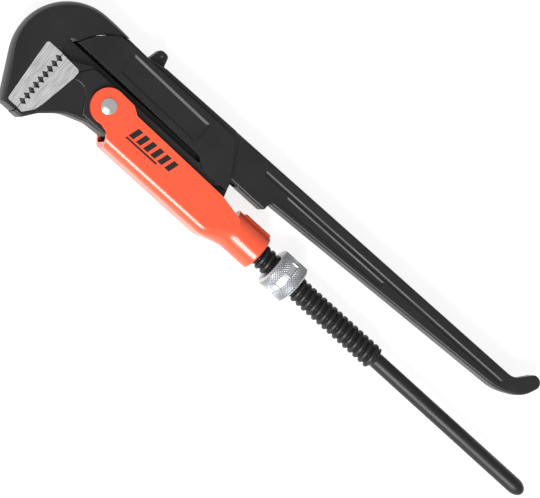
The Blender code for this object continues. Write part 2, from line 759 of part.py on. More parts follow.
def build_spring(parts):
    """The leaf spring, bowed up from the sleeve's floor towards the shank."""
    seat = SLEEVE_BOTTOM_Y + SHEET + CLEARANCE
    half_span = (SPRING_END_X - SPRING_START_X) / 2
    radius = (half_span ** 2 + SPRING_BOW ** 2) / (2 * SPRING_BOW)
    sweep = math.degrees(math.asin(half_span / radius))
    middle = ((SPRING_START_X + SPRING_END_X) / 2, seat + SPRING_BOW - radius)
    upper = arc(middle, radius + SPRING_THICKNESS, 90 + sweep, 90 - sweep)
    lower = arc(middle, radius, 90 - sweep, 90 + sweep)
    mesh = extrude(upper + lower, -SPRING_HALF_WIDTH, SPRING_HALF_WIDTH)
    painted(add_object("leaf_spring", mesh, parts), (0.3, 0.31, 0.33), 0.35, 1.0)


def main():
    """Clear the scene and build the wrench."""
    for old in list(bpy.data.objects):
        bpy.data.objects.remove(old)
    parts = collection("pipe_wrench")
    cutters = collection("cutters")
    build_main_leg(parts, cutters)
    build_threaded_leg(parts, cutters)
    build_sleeve(parts, cutters)
    build_rivet(parts)
    build_nut(parts, cutters)
    build_spring(parts)
    for tool in cutters.objects:
        tool.hide_render = True
        tool.display_type = "WIRE"


main()
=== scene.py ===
"""Looks of a Swedish-pattern pipe wrench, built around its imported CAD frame.

Sizes are millimetres in the drawing frame: zero on the pivot rivet's axis, half
way through the tool's thickness, X from the jaws to the ends of the handles, Y
towards the main handle's back and Z up through the thickness.  at() carries a
drawing point to its place in the world, in metres.
"""

import json
import logging
import math
from collections.abc import Callable, Iterator, Sequence
from contextlib import contextmanager
from dataclasses import dataclass
from enum import Enum

import bmesh
import bpy
from mathutils import Matrix, Vector


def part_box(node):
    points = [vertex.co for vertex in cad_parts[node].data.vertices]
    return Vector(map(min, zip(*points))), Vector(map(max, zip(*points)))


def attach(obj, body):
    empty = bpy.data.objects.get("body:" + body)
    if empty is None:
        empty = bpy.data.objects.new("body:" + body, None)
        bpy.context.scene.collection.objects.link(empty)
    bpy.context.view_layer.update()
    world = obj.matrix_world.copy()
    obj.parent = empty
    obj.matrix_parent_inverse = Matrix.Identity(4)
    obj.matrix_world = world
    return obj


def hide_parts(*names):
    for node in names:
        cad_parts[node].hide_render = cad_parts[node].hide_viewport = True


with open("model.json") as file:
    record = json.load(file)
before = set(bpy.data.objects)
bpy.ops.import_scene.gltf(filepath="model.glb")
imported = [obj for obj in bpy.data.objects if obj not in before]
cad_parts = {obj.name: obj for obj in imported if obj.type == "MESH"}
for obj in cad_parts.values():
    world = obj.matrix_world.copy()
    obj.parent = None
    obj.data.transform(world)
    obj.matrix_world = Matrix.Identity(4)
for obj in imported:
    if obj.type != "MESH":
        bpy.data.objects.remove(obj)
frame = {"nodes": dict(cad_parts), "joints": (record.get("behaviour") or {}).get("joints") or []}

MM = 0.001
PIVOT = Vector(next(j["pos_m"] for j in frame["joints"] if j["name"] == "handle_swing"))
SPINDLE = Vector(next(j["pos_m"] for j in frame["joints"] if j["name"] == "nut_turn"))
ARC_STEP_DEG = 5.0  # turn between two points of an outline's arc
ROUND_STEPS = 48  # sides of a round piece
MERGE_GAP = 1e-7  # metres between points that are one point
OVERRUN = 5.0  # how far a cutter runs past the faces that it cuts
TOOTH_INSET = 0.1  # keeps a jaw's black forging just behind its ground teeth
BOX_SLACK_MM = 1.5  # how far a piece's bounds may be from its CAD node's
LOG = logging.getLogger("pipe_wrench")

Point = tuple[float, float]
Corner = tuple[float, float, float]


class Body(Enum):
    """Bodies of the frame that pieces ride on."""

    MAIN_LEG = "main_leg"
    SLEEVE = "sleeve"
    THREADED_LEG = "threaded_leg"
    ADJUSTING_NUT = "adjusting_nut"


class Join(Enum):
    """Ways in which two solids are combined."""

    ADD = "UNION"
    CUT = "DIFFERENCE"
    KEEP_COMMON = "INTERSECT"


# ---- drawing --------------------------------------------------------------------------


def at(x: float, y: float, z: float = 0.0) -> Vector:
    """World place, in metres, of a drawing point in millimetres."""
    return PIVOT + Vector((x, y, z)) * MM


def drawn(place: Vector) -> Vector:
    """Drawing point, in millimetres, of a world place in metres."""
    return (place - PIVOT) / MM


def arc(centre: Point, radius: float, start_deg: float, end_deg: float) -> list[Point]:
    """Lay points on an arc.

    Args:
        centre: the arc's centre.
        radius: its radius.
        start_deg: angle of its first point.
        end_deg: angle of its last point.

    Returns:
        The points, in order.
    """
    steps = max(2, round(abs(end_deg - start_deg) / ARC_STEP_DEG))
    points = []
    for step in range(steps + 1):
        angle = math.radians(start_deg + (end_deg - start_deg) * step / steps)
        points.append((centre[0] + radius * math.cos(angle), centre[1] + radius * math.sin(angle)))
    return points


def rounded(corners: Sequence[Corner]) -> list[Point]:
    """Turn corners into a closed outline.

    Args:
        corners: x, y and fillet radius of each corner, in order.

    Returns:
        The outline's points, with each fillet as a run of short steps.
    """
    outline: list[Point] = []
    for index, (x, y, radius) in enumerate(corners):
        corner = Vector((x, y))
        if radius == 0:
            outline.append((x, y))
            continue
        to_last = (Vector(corners[index - 1][:2]) - corner).normalized()
        to_next = (Vector(corners[(index + 1) % len(corners)][:2]) - corner).normalized()
        half = to_last.angle(to_next) / 2
        centre = corner + (to_last + to_next).normalized() * radius / math.sin(half)
        start = corner + to_last * radius / math.tan(half) - centre
        end = corner + to_next * radius / math.tan(half) - centre
        first = math.degrees(math.atan2(start.y, start.x))
        outline += arc(tuple(centre), radius, first, first - math.degrees(start.angle_signed(end)))
    return outline


def plain(points: Sequence[Point]) -> list[Corner]:
    """Corners without a fillet, for an outline passed to rounded()."""
    return [(x, y, 0.0) for x, y in points]


def blend(start: float, end: float, share: float) -> float:
    """A value eased from start to end as share goes from 0 to 1."""
    eased = min(max(share, 0.0), 1.0)
    return start + (end - start) * eased * eased * (3 - 2 * eased)


# ---- modelling ------------------------------------------------------------------------


def deselect() -> None:
    """Leave nothing selected."""
    bpy.ops.object.select_all(action="DESELECT")


def pick(piece: bpy.types.Object) -> None:
    """Select one piece alone and make it active."""
    deselect()
    piece.select_set(True)
    bpy.context.view_layer.objects.active = piece


@contextmanager
def editing(piece: bpy.types.Object) -> Iterator[None]:
    """Edit mode on one piece with all of it selected, and object mode again afterwards."""
    pick(piece)
    bpy.ops.object.mode_set(mode="EDIT")
    bpy.ops.mesh.select_all(action="SELECT")
    yield
    bpy.ops.object.mode_set(mode="OBJECT")


def turn_faces_out(piece: bpy.types.Object) -> None:
    """Merge doubled points and point every face outwards."""
    with editing(piece):
        bpy.ops.mesh.remove_doubles(threshold=MERGE_GAP)
        bpy.ops.mesh.normals_make_consistent(inside=False)


def plate(name: str, outline: Sequence[Point], low: float, high: float) -> bpy.types.Object:
    """Make a plate from a disc whose corners move to an outline, and an extrusion.

    Args:
        name: the piece's name.
        outline: closed outline in the drawing's plane.
        low: height of the plate's underside.
        high: height of its upper side.

    Returns:
        The closed plate.
    """
    deselect()
    bpy.ops.mesh.primitive_circle_add(vertices=len(outline), radius=MM, fill_type="NGON")
    piece = bpy.context.object
    piece.name = name
    for vertex, (x, y) in zip(piece.data.vertices, outline):
        vertex.co = at(x, y, low)
    with editing(piece):
        bpy.ops.mesh.extrude_region_move(TRANSFORM_OT_translate={"value": (0.0, 0.0, (high - low) * MM)})
    turn_faces_out(piece)
    return piece


def loft(name: str, rings: Sequence[Sequence[Vector]], closed: bool = False) -> bpy.types.Object:
    """Lay a grid's rows on rings of points, join its seam and close its ends.

    Args:
        name: the piece's name.
        rings: world places of each ring's points, all rings with the same number.
        closed: whether the last ring joins the first, as on a hollow piece.

    Returns:
        The closed solid.
    """
    rows = [*rings, rings[0]] if closed else list(rings)
    deselect()
    bpy.ops.mesh.primitive_grid_add(x_subdivisions=len(rings[0]), y_subdivisions=len(rows) - 1)
    piece = bpy.context.object
    piece.name = name
    places = [place for ring in rows for place in (*ring, ring[0])]
    for vertex, place in zip(piece.data.vertices, places):
        vertex.co = place
    with editing(piece):
        bpy.ops.mesh.remove_doubles(threshold=MERGE_GAP)
        bpy.ops.mesh.select_all(action="DESELECT")
        bpy.ops.mesh.select_mode(type="EDGE")
        bpy.ops.mesh.select_non_manifold()
        bpy.ops.mesh.fill_holes(sides=0)
    turn_faces_out(piece)
    return piece


def ring_x(x: float, radius: Callable[[float], float], steps: int = ROUND_STEPS) -> list[Vector]:
    """Lay a ring of points round the spindle's axis.

    Args:
        x: place of the ring along the axis.
        radius: gives the radius for each turn angle.
        steps: number of points.

    Returns:
        World places of the points.
    """
    axis = drawn(SPINDLE).y
    angles = [math.tau * step / steps for step in range(steps)]
    return [at(x, axis + radius(a) * math.cos(a), radius(a) * math.sin(a)) for a in angles]


def ring_z(z: float, radius: float) -> list[Vector]:
    """Ring of points round the rivet's axis at one height."""
    angles = [math.tau * step / ROUND_STEPS for step in range(ROUND_STEPS)]
    return [at(radius * math.cos(a), radius * math.sin(a), z) for a in angles]


def turned(name: str, profile: Sequence[Point]) -> bpy.types.Object:
    """Round bar about the spindle's axis from (x, radius) stations."""
    return loft(name, [ring_x(x, lambda _, r=radius: r) for x, radius in profile])


def pick_edges(piece: bpy.types.Object, wanted: Callable[[bmesh.types.BMEdge], bool]) -> None:
    """Select, in edit mode, the edges that a test wants.

    Args:
        piece: the piece being edited.
        wanted: the test, which sees only edges between two faces.
    """
    bpy.ops.mesh.select_mode(type="EDGE")
    bpy.ops.mesh.select_all(action="DESELECT")
    work = bmesh.from_edit_mesh(piece.data)
    work.normal_update()
    for edge in work.edges:
        if len(edge.link_faces) == 2 and wanted(edge):
            edge.select_set(True)
    bmesh.update_edit_mesh(piece.data)


def soften(
    piece: bpy.types.Object,
    width: float,
    segments: int = 4,
    where: Callable[[Vector], bool] = lambda middle: True,
) -> None:
    """Round a plate's rims, where its faces meet its side walls.

    Args:
        piece: the plate.
        width: width of the rounding.
        segments: number of steps across it.
        where: test of an edge's middle, as a drawing point.
    """

    def is_rim(edge: bmesh.types.BMEdge) -> bool:
        tilts = sorted(abs(face.normal.z) for face in edge.link_faces)
        return tilts[0] < 0.6 < tilts[1] and where(drawn((edge.verts[0].co + edge.verts[1].co) / 2))

    with editing(piece):
        pick_edges(piece, is_rim)
        bpy.ops.mesh.bevel(
            offset=width * MM, segments=segments, affect="EDGES", clamp_overlap=True)
    turn_faces_out(piece)


def round_sharp(piece: bpy.types.Object, width: float, segments: int, angle_deg: float) -> None:
    """Round every edge that is sharper than an angle with an applied Bevel modifier.

    Args:
        piece: the piece.
        width: width of the rounding.
        segments: number of steps across it.
        angle_deg: the angle.
    """
    step = piece.modifiers.new("edges", "BEVEL")
    step.width = width * MM
    step.segments = segments
    step.limit_method = "ANGLE"
    step.angle_limit = math.radians(angle_deg)
    apply_step(piece, step)


def apply_step(piece: bpy.types.Object, step: bpy.types.Modifier) -> None:
    """Apply one modifier."""
    pick(piece)
    bpy.ops.object.modifier_apply(modifier=step.name)


def combine(piece: bpy.types.Object, tool: bpy.types.Object, join: Join) -> None:
    """Combine a piece with a tool, each face keeping its own material.

    Args:
        piece: the piece that stays.
        tool: the solid to combine it with, which is removed.
        join: how they are combined.
    """
    step = piece.modifiers.new(tool.name, "BOOLEAN")
    step.operation = join.value
    step.solver = "EXACT"
    step.material_mode = "TRANSFER"
    step.object = tool
    apply_step(piece, step)
    bpy.data.objects.remove(tool)


def dress(piece: bpy.types.Object, material: bpy.types.Material) -> bpy.types.Object:
    """Give a piece one material and return it."""
    piece.data.materials.clear()
    piece.data.materials.append(material)
    return piece


def dress_flats(
    piece: bpy.types.Object, sides: bpy.types.Material, flats: bpy.types.Material
) -> bpy.types.Object:
    """Give a plate's two faces one material and its side walls another.

    Args:
        piece: the plate.
        sides: material of the side walls.
        flats: material of the two faces.

    Returns:
        The plate.
    """
    dress(piece, sides).data.materials.append(flats)
    for polygon in piece.data.polygons:
        polygon.material_index = int(abs(polygon.normal.z) > 0.9)
    return piece


def shade(piece: bpy.types.Object, angle_deg: float) -> None:
    """Shade a piece smooth up to an angle, and keep its large faces flat.

    Args:
        piece: the piece.
        angle_deg: sharpest turn between two faces that is still shaded smooth.
    """
    pick(piece)
    bpy.ops.object.shade_smooth_by_angle(angle=math.radians(angle_deg))
    step = piece.modifiers.new("normals", "WEIGHTED_NORMAL")
    step.keep_sharp = True
    apply_step(piece, step)


def hand_over(piece: bpy.types.Object, body: Body, node: str) -> None:
    """Tell the frame what a finished piece rides on and stands for, and log it.

    Args:
        piece: the finished piece.
        body: the body that it rides on.
        node: the CAD node that it stands for.

    Raises:
        RuntimeError: if the piece doesn't fill the node's box, as when a cut has emptied it.
    """
    cad_low, cad_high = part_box(node)
    places = [vertex.co for vertex in piece.data.vertices]
    for axis in range(3):
        low, high = min(place[axis] for place in places), max(place[axis] for place in places)
        stray = max(abs(low - cad_low[axis]), abs(high - cad_high[axis])) / MM
        if stray > BOX_SLACK_MM:
            raise RuntimeError(f"{piece.name} is {stray:.1f} mm off its CAD box on axis {axis}")
    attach(piece, body.value)
    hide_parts(node)
    piece.data.calc_loop_triangles()
    LOG.info("%s: %d triangles, rides on %s", piece.name, len(piece.data.loop_triangles), body.value)


# ---- finishes -------------------------------------------------------------------------


def linear(colour: str) -> tuple[float, float, float, float]:
    """Linear RGBA of an sRGB colour written as #RRGGBB."""
    channels = [int(colour[i:i + 2], 16) / 255 for i in (1, 3, 5)]
    return (*[c / 12.92 if c <= 0.04045 else ((c + 0.055) / 1.055) ** 2.4 for c in channels], 1.0)


def add_node(
    tree: bpy.types.NodeTree,
    kind: str,
    settings: dict[str | int, object] | None = None,
    links: dict[str | int, bpy.types.NodeSocket] | None = None,
) -> bpy.types.Node:
    """Add one node with its settings and links.

    Args:
        tree: the material's node tree.
        kind: the node's type.
        settings: values by property name, socket name or socket number.
        links: sockets that feed its inputs, by socket name or number.

    Returns:
        The new node.
    """
    node = tree.nodes.new(kind)
    for key, value in (settings or {}).items():
        if isinstance(key, int) or key in node.inputs:
            node.inputs[key].default_value = value
        else:
            setattr(node, key, value)
    for key, source in (links or {}).items():
        tree.links.new(source, node.inputs[key])
    return node


def empty_material(name: str) -> tuple[bpy.types.Material, bpy.types.NodeTree, bpy.types.NodeSocket]:
    """Start a material.

    Args:
        name: the material's name.

    Returns:
        The material, its node tree and a socket of Object coordinates.
    """
    material = bpy.data.materials.new(name)
    material.use_nodes = True
    tree = material.node_tree
    tree.nodes.clear()
    coordinates = add_node(tree, "ShaderNodeTexCoord").outputs["Object"]
    return material, tree, coordinates


def noise(
    tree: bpy.types.NodeTree, coordinates: bpy.types.NodeSocket, grain_mm: float, detail: float = 2.0
) -> bpy.types.NodeSocket:
    """Noise from 0 to 1 whose lumps are a real size across."""
    settings = {"Scale": 1 / (grain_mm * MM), "Detail": detail}
    return add_node(tree, "ShaderNodeTexNoise", settings, {"Vector": coordinates}).outputs["Fac"]


def ramp(
    tree: bpy.types.NodeTree, source: bpy.types.NodeSocket, low: float, high: float
) -> bpy.types.NodeSocket:
    """Stretch a noise's usual span, 0.3 to 0.7, to a range."""
    settings = {"From Min": 0.3, "From Max": 0.7, "To Min": low, "To Max": high}
    return add_node(tree, "ShaderNodeMapRange", settings, {"Value": source}).outputs["Result"]


def mix_colours(
    tree: bpy.types.NodeTree, share: bpy.types.NodeSocket, first: object, second: object
) -> bpy.types.NodeSocket:
    """Mix two colours.

    Args:
        tree: the material's node tree.
        share: share of the second colour.
        first: a linear RGBA value or a socket.
        second: a linear RGBA value or a socket.

    Returns:
        The mixed colour.
    """
    settings: dict[str | int, object] = {"data_type": "RGBA"}
    links: dict[str | int, bpy.types.NodeSocket] = {0: share}
    for number, colour in ((6, first), (7, second)):
        if isinstance(colour, bpy.types.NodeSocket):
            links[number] = colour
        else:
            settings[number] = colour
    return add_node(tree, "ShaderNodeMix", settings, links).outputs[2]


def math_node(
    tree: bpy.types.NodeTree, operation: str, first: object, second: object = 0.0
) -> bpy.types.NodeSocket:
    """Work out one sum.

    Args:
        tree: the material's node tree.
        operation: the sum's name in Blender.
        first: a number or a socket.
        second: a number or a socket.

    Returns:
        The result.
    """
    settings: dict[str | int, object] = {"operation": operation}
    links: dict[str | int, bpy.types.NodeSocket] = {}
    for number, value in enumerate((first, second)):
        if isinstance(value, bpy.types.NodeSocket):
            links[number] = value
        else:
            settings[number] = value
    return add_node(tree, "ShaderNodeMath", settings, links).outputs[0]


def between(
    tree: bpy.types.NodeTree, value: bpy.types.NodeSocket, span: Point
) -> bpy.types.NodeSocket:
    """Mask where a value lies in a span.

    Args:
        tree: the material's node tree.
        value: the value.
        span: its lowest and highest wanted value.

    Returns:
        1 inside the span and 0 outside it.
    """
    middle, half = (span[0] + span[1]) / 2, (span[1] - span[0]) / 2
    away = math_node(tree, "ABSOLUTE", math_node(tree, "SUBTRACT", value, middle))
    return math_node(tree, "LESS_THAN", away, half)


def surface(
    tree: bpy.types.NodeTree,
    colour: bpy.types.NodeSocket,
    roughness: bpy.types.NodeSocket,
    relief: bpy.types.NodeSocket,
    relief_mm: float,
    settings: dict[str | int, object],
) -> None:
    """Finish a material with a bumped principled surface.

    Args:
        tree: the material's node tree.
        colour: base colour.
        roughness: roughness.
        relief: height from 0 to 1.
        relief_mm: real height of the relief.
        settings: the shader's constant values.
    """
    bump = add_node(tree, "ShaderNodeBump", {"Distance": relief_mm * MM}, {"Height": relief})
    links = {"Base Color": colour, "Roughness": roughness, "Normal": bump.outputs["Normal"]}
    shader = add_node(tree, "ShaderNodeBsdfPrincipled", settings, links)
    add_node(tree, "ShaderNodeOutputMaterial", {}, {"Surface": shader.outputs["BSDF"]})


@dataclass(frozen=True)
class ForgedBlack:
    """Drop-forged steel, shot-blasted and stoved in satin black paint.

    The blasting leaves a fine grain that breaks the gloss up, and the paint lies
    a little unevenly, so broad areas differ slightly in tone and shine.
    """

    dark: str = "#131315"
    light: str = "#1C1C1E"
    grain_mm: float = 0.9
    grain_height_mm: float = 0.035
    patch_mm: float = 22.0
    roughness: tuple[float, float] = (0.38, 0.48)

    def material(self) -> bpy.types.Material:
        """Build the material."""
        material, tree, place = empty_material("satin_black_forging")
        patches = noise(tree, place, self.patch_mm)
        grain = noise(tree, place, self.grain_mm, 4.0)
        colour = mix_colours(tree, patches, linear(self.dark), linear(self.light))
        shine = ramp(tree, patches, *self.roughness)
        surface(tree, colour, shine, grain, self.grain_height_mm, {"Specular IOR Level": 0.4})
        return material


@dataclass(frozen=True)
class GroundSteel:
    """Jaw flanks of hardened steel, ground bare across the jaw.

    The wheel leaves fine straight scratches along Y that stretch the highlight.
    They are drawn 0.35 mm apart, coarser than real ones, so that they show.
    """

    light: str = "#E6E6E4"
    dark: str = "#B8B8BA"
    scratch_mm: float = 0.35
    scratch_length_mm: float = 9.0
    scratch_height_mm: float = 0.012
    roughness: tuple[float, float] = (0.42, 0.58)

    def material(self) -> bpy.types.Material:
        """Build the material."""
        material, tree, place = empty_material("ground_steel")
        stretch = self.scratch_mm / self.scratch_length_mm
        mapping = add_node(
            tree, "ShaderNodeMapping", {"Scale": (1.0, stretch, 1.0)}, {"Vector": place})
        scratches = noise(tree, mapping.outputs["Vector"], self.scratch_mm, 3.0)
        share = ramp(tree, scratches, 0.0, 1.0)
        colour = mix_colours(tree, share, linear(self.dark), linear(self.light))
        shine = ramp(tree, scratches, *self.roughness)
        surface(tree, colour, shine, scratches, self.scratch_height_mm, {"Metallic": 1.0})
        return material


@dataclass(frozen=True)
class GlossPaint:
    """Orange-red stoving enamel sprayed on the pressed sleeve.

    A clear gloss over a faint orange peel gives soft wavy highlights.  A row of
    dark slanted bars over a thin line is printed on the upper cheek as a plain mark.
    """

    bright: str = "#F65A36"
    deep: str = "#EC4D2A"
    ink: str = "#17120F"
    peel_mm: float = 6.0
    peel_height_mm: float = 0.004
    patch_mm: float = 30.0
    roughness: tuple[float, float] = (0.24, 0.32)
    bars_x: Point = (18.6, 48.2)
    bars_y: Point = (-4.2, 1.9)
    line_x: Point = (18.6, 39.5)
    line_y: Point = (-6.1, -5.1)
    bar_pitch: float = 4.93
    bar_share: float = 0.64
    slant: float = 0.3
    cheek_z: float = 10.2

    def mark(
        self, tree: bpy.types.NodeTree, place: bpy.types.NodeSocket, paint: bpy.types.NodeSocket
    ) -> bpy.types.NodeSocket:
        """Lay the printed mark over the paint's colour.

        Args:
            tree: the material's node tree.
            place: Object coordinates.
            paint: the paint's colour.

        Returns:
            The colour with the mark on it.
        """
        centred = add_node(
            tree, "ShaderNodeMapping", {"Location": tuple(-PIVOT / MM), "Scale": (1 / MM,) * 3},
            {"Vector": place}).outputs["Vector"]
        split = add_node(tree, "ShaderNodeSeparateXYZ", {}, {"Vector": centred}).outputs
        leaning = math_node(tree, "MULTIPLY", split["Y"], self.slant)
        along = math_node(tree, "SUBTRACT", split["X"], leaning)
        from_start = math_node(tree, "SUBTRACT", along, self.bars_x[0])
        cell = math_node(tree, "FRACT", math_node(tree, "DIVIDE", from_start, self.bar_pitch))
        on_bar = math_node(tree, "LESS_THAN", cell, self.bar_share)
        mask: bpy.types.NodeSocket | None = None
        for span_x, span_y in ((self.bars_x, self.bars_y), (self.line_x, self.line_y)):
            block = math_node(
                tree, "MULTIPLY", between(tree, along, span_x), between(tree, split["Y"], span_y))
            mask = math_node(tree, "MULTIPLY", block, on_bar) if mask is None else math_node(
                tree, "MAXIMUM", mask, block)
        on_cheek = math_node(tree, "GREATER_THAN", split["Z"], self.cheek_z)
        return mix_colours(tree, math_node(tree, "MULTIPLY", mask, on_cheek), paint, linear(self.ink))

    def material(self) -> bpy.types.Material:
        """Build the material."""
        material, tree, place = empty_material("orange_red_enamel")
        patches = noise(tree, place, self.patch_mm)
        paint = mix_colours(tree, patches, linear(self.deep), linear(self.bright))
        peel = noise(tree, place, self.peel_mm)
        shine = ramp(tree, patches, *self.roughness)
        settings = {"Coat Weight": 0.35, "Coat Roughness": 0.12}
        surface(tree, self.mark(tree, place, paint), shine, peel, self.peel_height_mm, settings)
        return material


@dataclass(frozen=True)
class BrightMetal:
    """A bare or plated metal with a fine cloudy shine.

    The plating bath or the polishing leaves slight clouds, so the highlight
    isn't even, over a fine grain.  Grooves and corners are darkened with painted shade from an ambient
    occlusion mask.
    """

    name: str
    light: str
    dark: str
    roughness: tuple[float, float]
    cloud_mm: float = 2.5
    grain_mm: float = 0.3
    grain_height_mm: float = 0.006
    # colour of the painted shade that the ambient occlusion mask lays into grooves and corners
    crease_shade: str = "#3A3B3D"
    crease_shade_reach_mm: float = 0.9

    def material(self) -> bpy.types.Material:
        """Build the material."""
        material, tree, place = empty_material(self.name)
        clouds = noise(tree, place, self.cloud_mm)
        grain = noise(tree, place, self.grain_mm)
        clean = mix_colours(tree, clouds, linear(self.dark), linear(self.light))
        # painted shade: ambient occlusion darkens grooves and corners, such as the knurl's valleys,
        # towards the shade colour
        reach = {"Distance": self.crease_shade_reach_mm * MM, "samples": 8}
        unshaded_share = add_node(tree, "ShaderNodeAmbientOcclusion", reach).outputs["AO"]
        colour = mix_colours(tree, unshaded_share, linear(self.crease_shade), clean)
        shine = ramp(tree, clouds, *self.roughness)
        surface(tree, colour, shine, grain, self.grain_height_mm, {"Metallic": 1.0})
        return material


ZINC_PLATE = BrightMetal("bright_zinc_plate", "#E0E2E5", "#CDD0D4", (0.46, 0.54))
RIVET_STEEL = BrightMetal("bright_rivet_steel", "#F0F0F0", "#DADADA", (0.24, 0.32))
SPRING_STEEL = BrightMetal("blued_spring_steel", "#5A5E66", "#3E4148", (0.3, 0.42), cloud_mm=6.0)


# ---- shared layout --------------------------------------------------------------------


@dataclass(frozen=True)
class Layout:
    """Lines of the drawing that more than one piece follows."""

    clearance: float = 0.3
    back_y: float = 34.8
    back_rise: float = 2.5
    foot_bend_x: float = 248.0
    tooth_line_x: float = -34.9
    jaw_gap: float = 0.5
    jaw_base_y: float = 4.6
    tooth_pitch: float = 3.6
    tooth_count: int = 9
    tooth_depth: float = 2.2
    tooth_half_width: float = 1.5
    first_tooth_y: float = 1.6
    box_low_left_y: float = 14.6
    shank_half: float = 4.3
    sheet: float = 2.2
    sleeve_half: float = 10.5
    rivet_shaft_r: float = 3.2
    boss_proud: float = 0.5
    boss_edge: float = 0.35

    @property
    def box_arc_r(self) -> float:
        """Radius of the box's round end."""
        return self.back_y + 1.2

    @property
    def boss_tip_y(self) -> float:
        """End of the ground flanks."""
        last_tooth = self.first_tooth_y - (self.tooth_count - 1) * self.tooth_pitch
        return last_tooth - self.tooth_half_width - 2.7

    @property
    def jaw_tip_y(self) -> float:
        """End of the jaws."""
        return self.boss_tip_y - 2.4

    def back_edge(self, x: float) -> float:
        """Height of the main leg's straight back edge at one place."""
        return self.back_y + self.back_rise * x / self.foot_bend_x

    def toothed_line(self, x: float, depth: float, tip_y: float) -> list[Point]:
        """Draw a jaw's biting edge with its V notches.

        Args:
            x: place of the edge.
            depth: depth of the notches, below zero where they go towards the hook's back.
            tip_y: height of the edge's end.

        Returns:
            The edge's points from its base to its tip.
        """
        points = [(x, self.jaw_base_y)]
        for tooth in range(self.tooth_count):
            y = self.first_tooth_y - tooth * self.tooth_pitch
            points += [(x, y + self.tooth_half_width), (x + depth, y), (x, y - self.tooth_half_width)]
        return [*points, (x, tip_y)]


LAYOUT = Layout()


def shoulder(from_y: float, to_y: float, radius: float) -> list[Point]:
    """Draw the arc of the box's round end, which the hook's shoulder follows.

    Args:
        from_y: height of its first point.
        to_y: height of its last point.
        radius: its radius round the rivet.

    Returns:
        The arc's points.
    """
    first, last = (math.degrees(math.asin(y / radius)) for y in (from_y, to_y))
    return arc((0.0, 0.0), radius, 180 - first, 180 - last)


def rivet_hole(half: float) -> bpy.types.Object:
    """Cutter for the rivet's hole through a piece of some half width."""
    radius = LAYOUT.rivet_shaft_r + LAYOUT.clearance
    reach = half + OVERRUN
    return loft("rivet_hole", [ring_z(-reach, radius), ring_z(reach, radius)])


# ---- main leg -------------------------------------------------------------------------


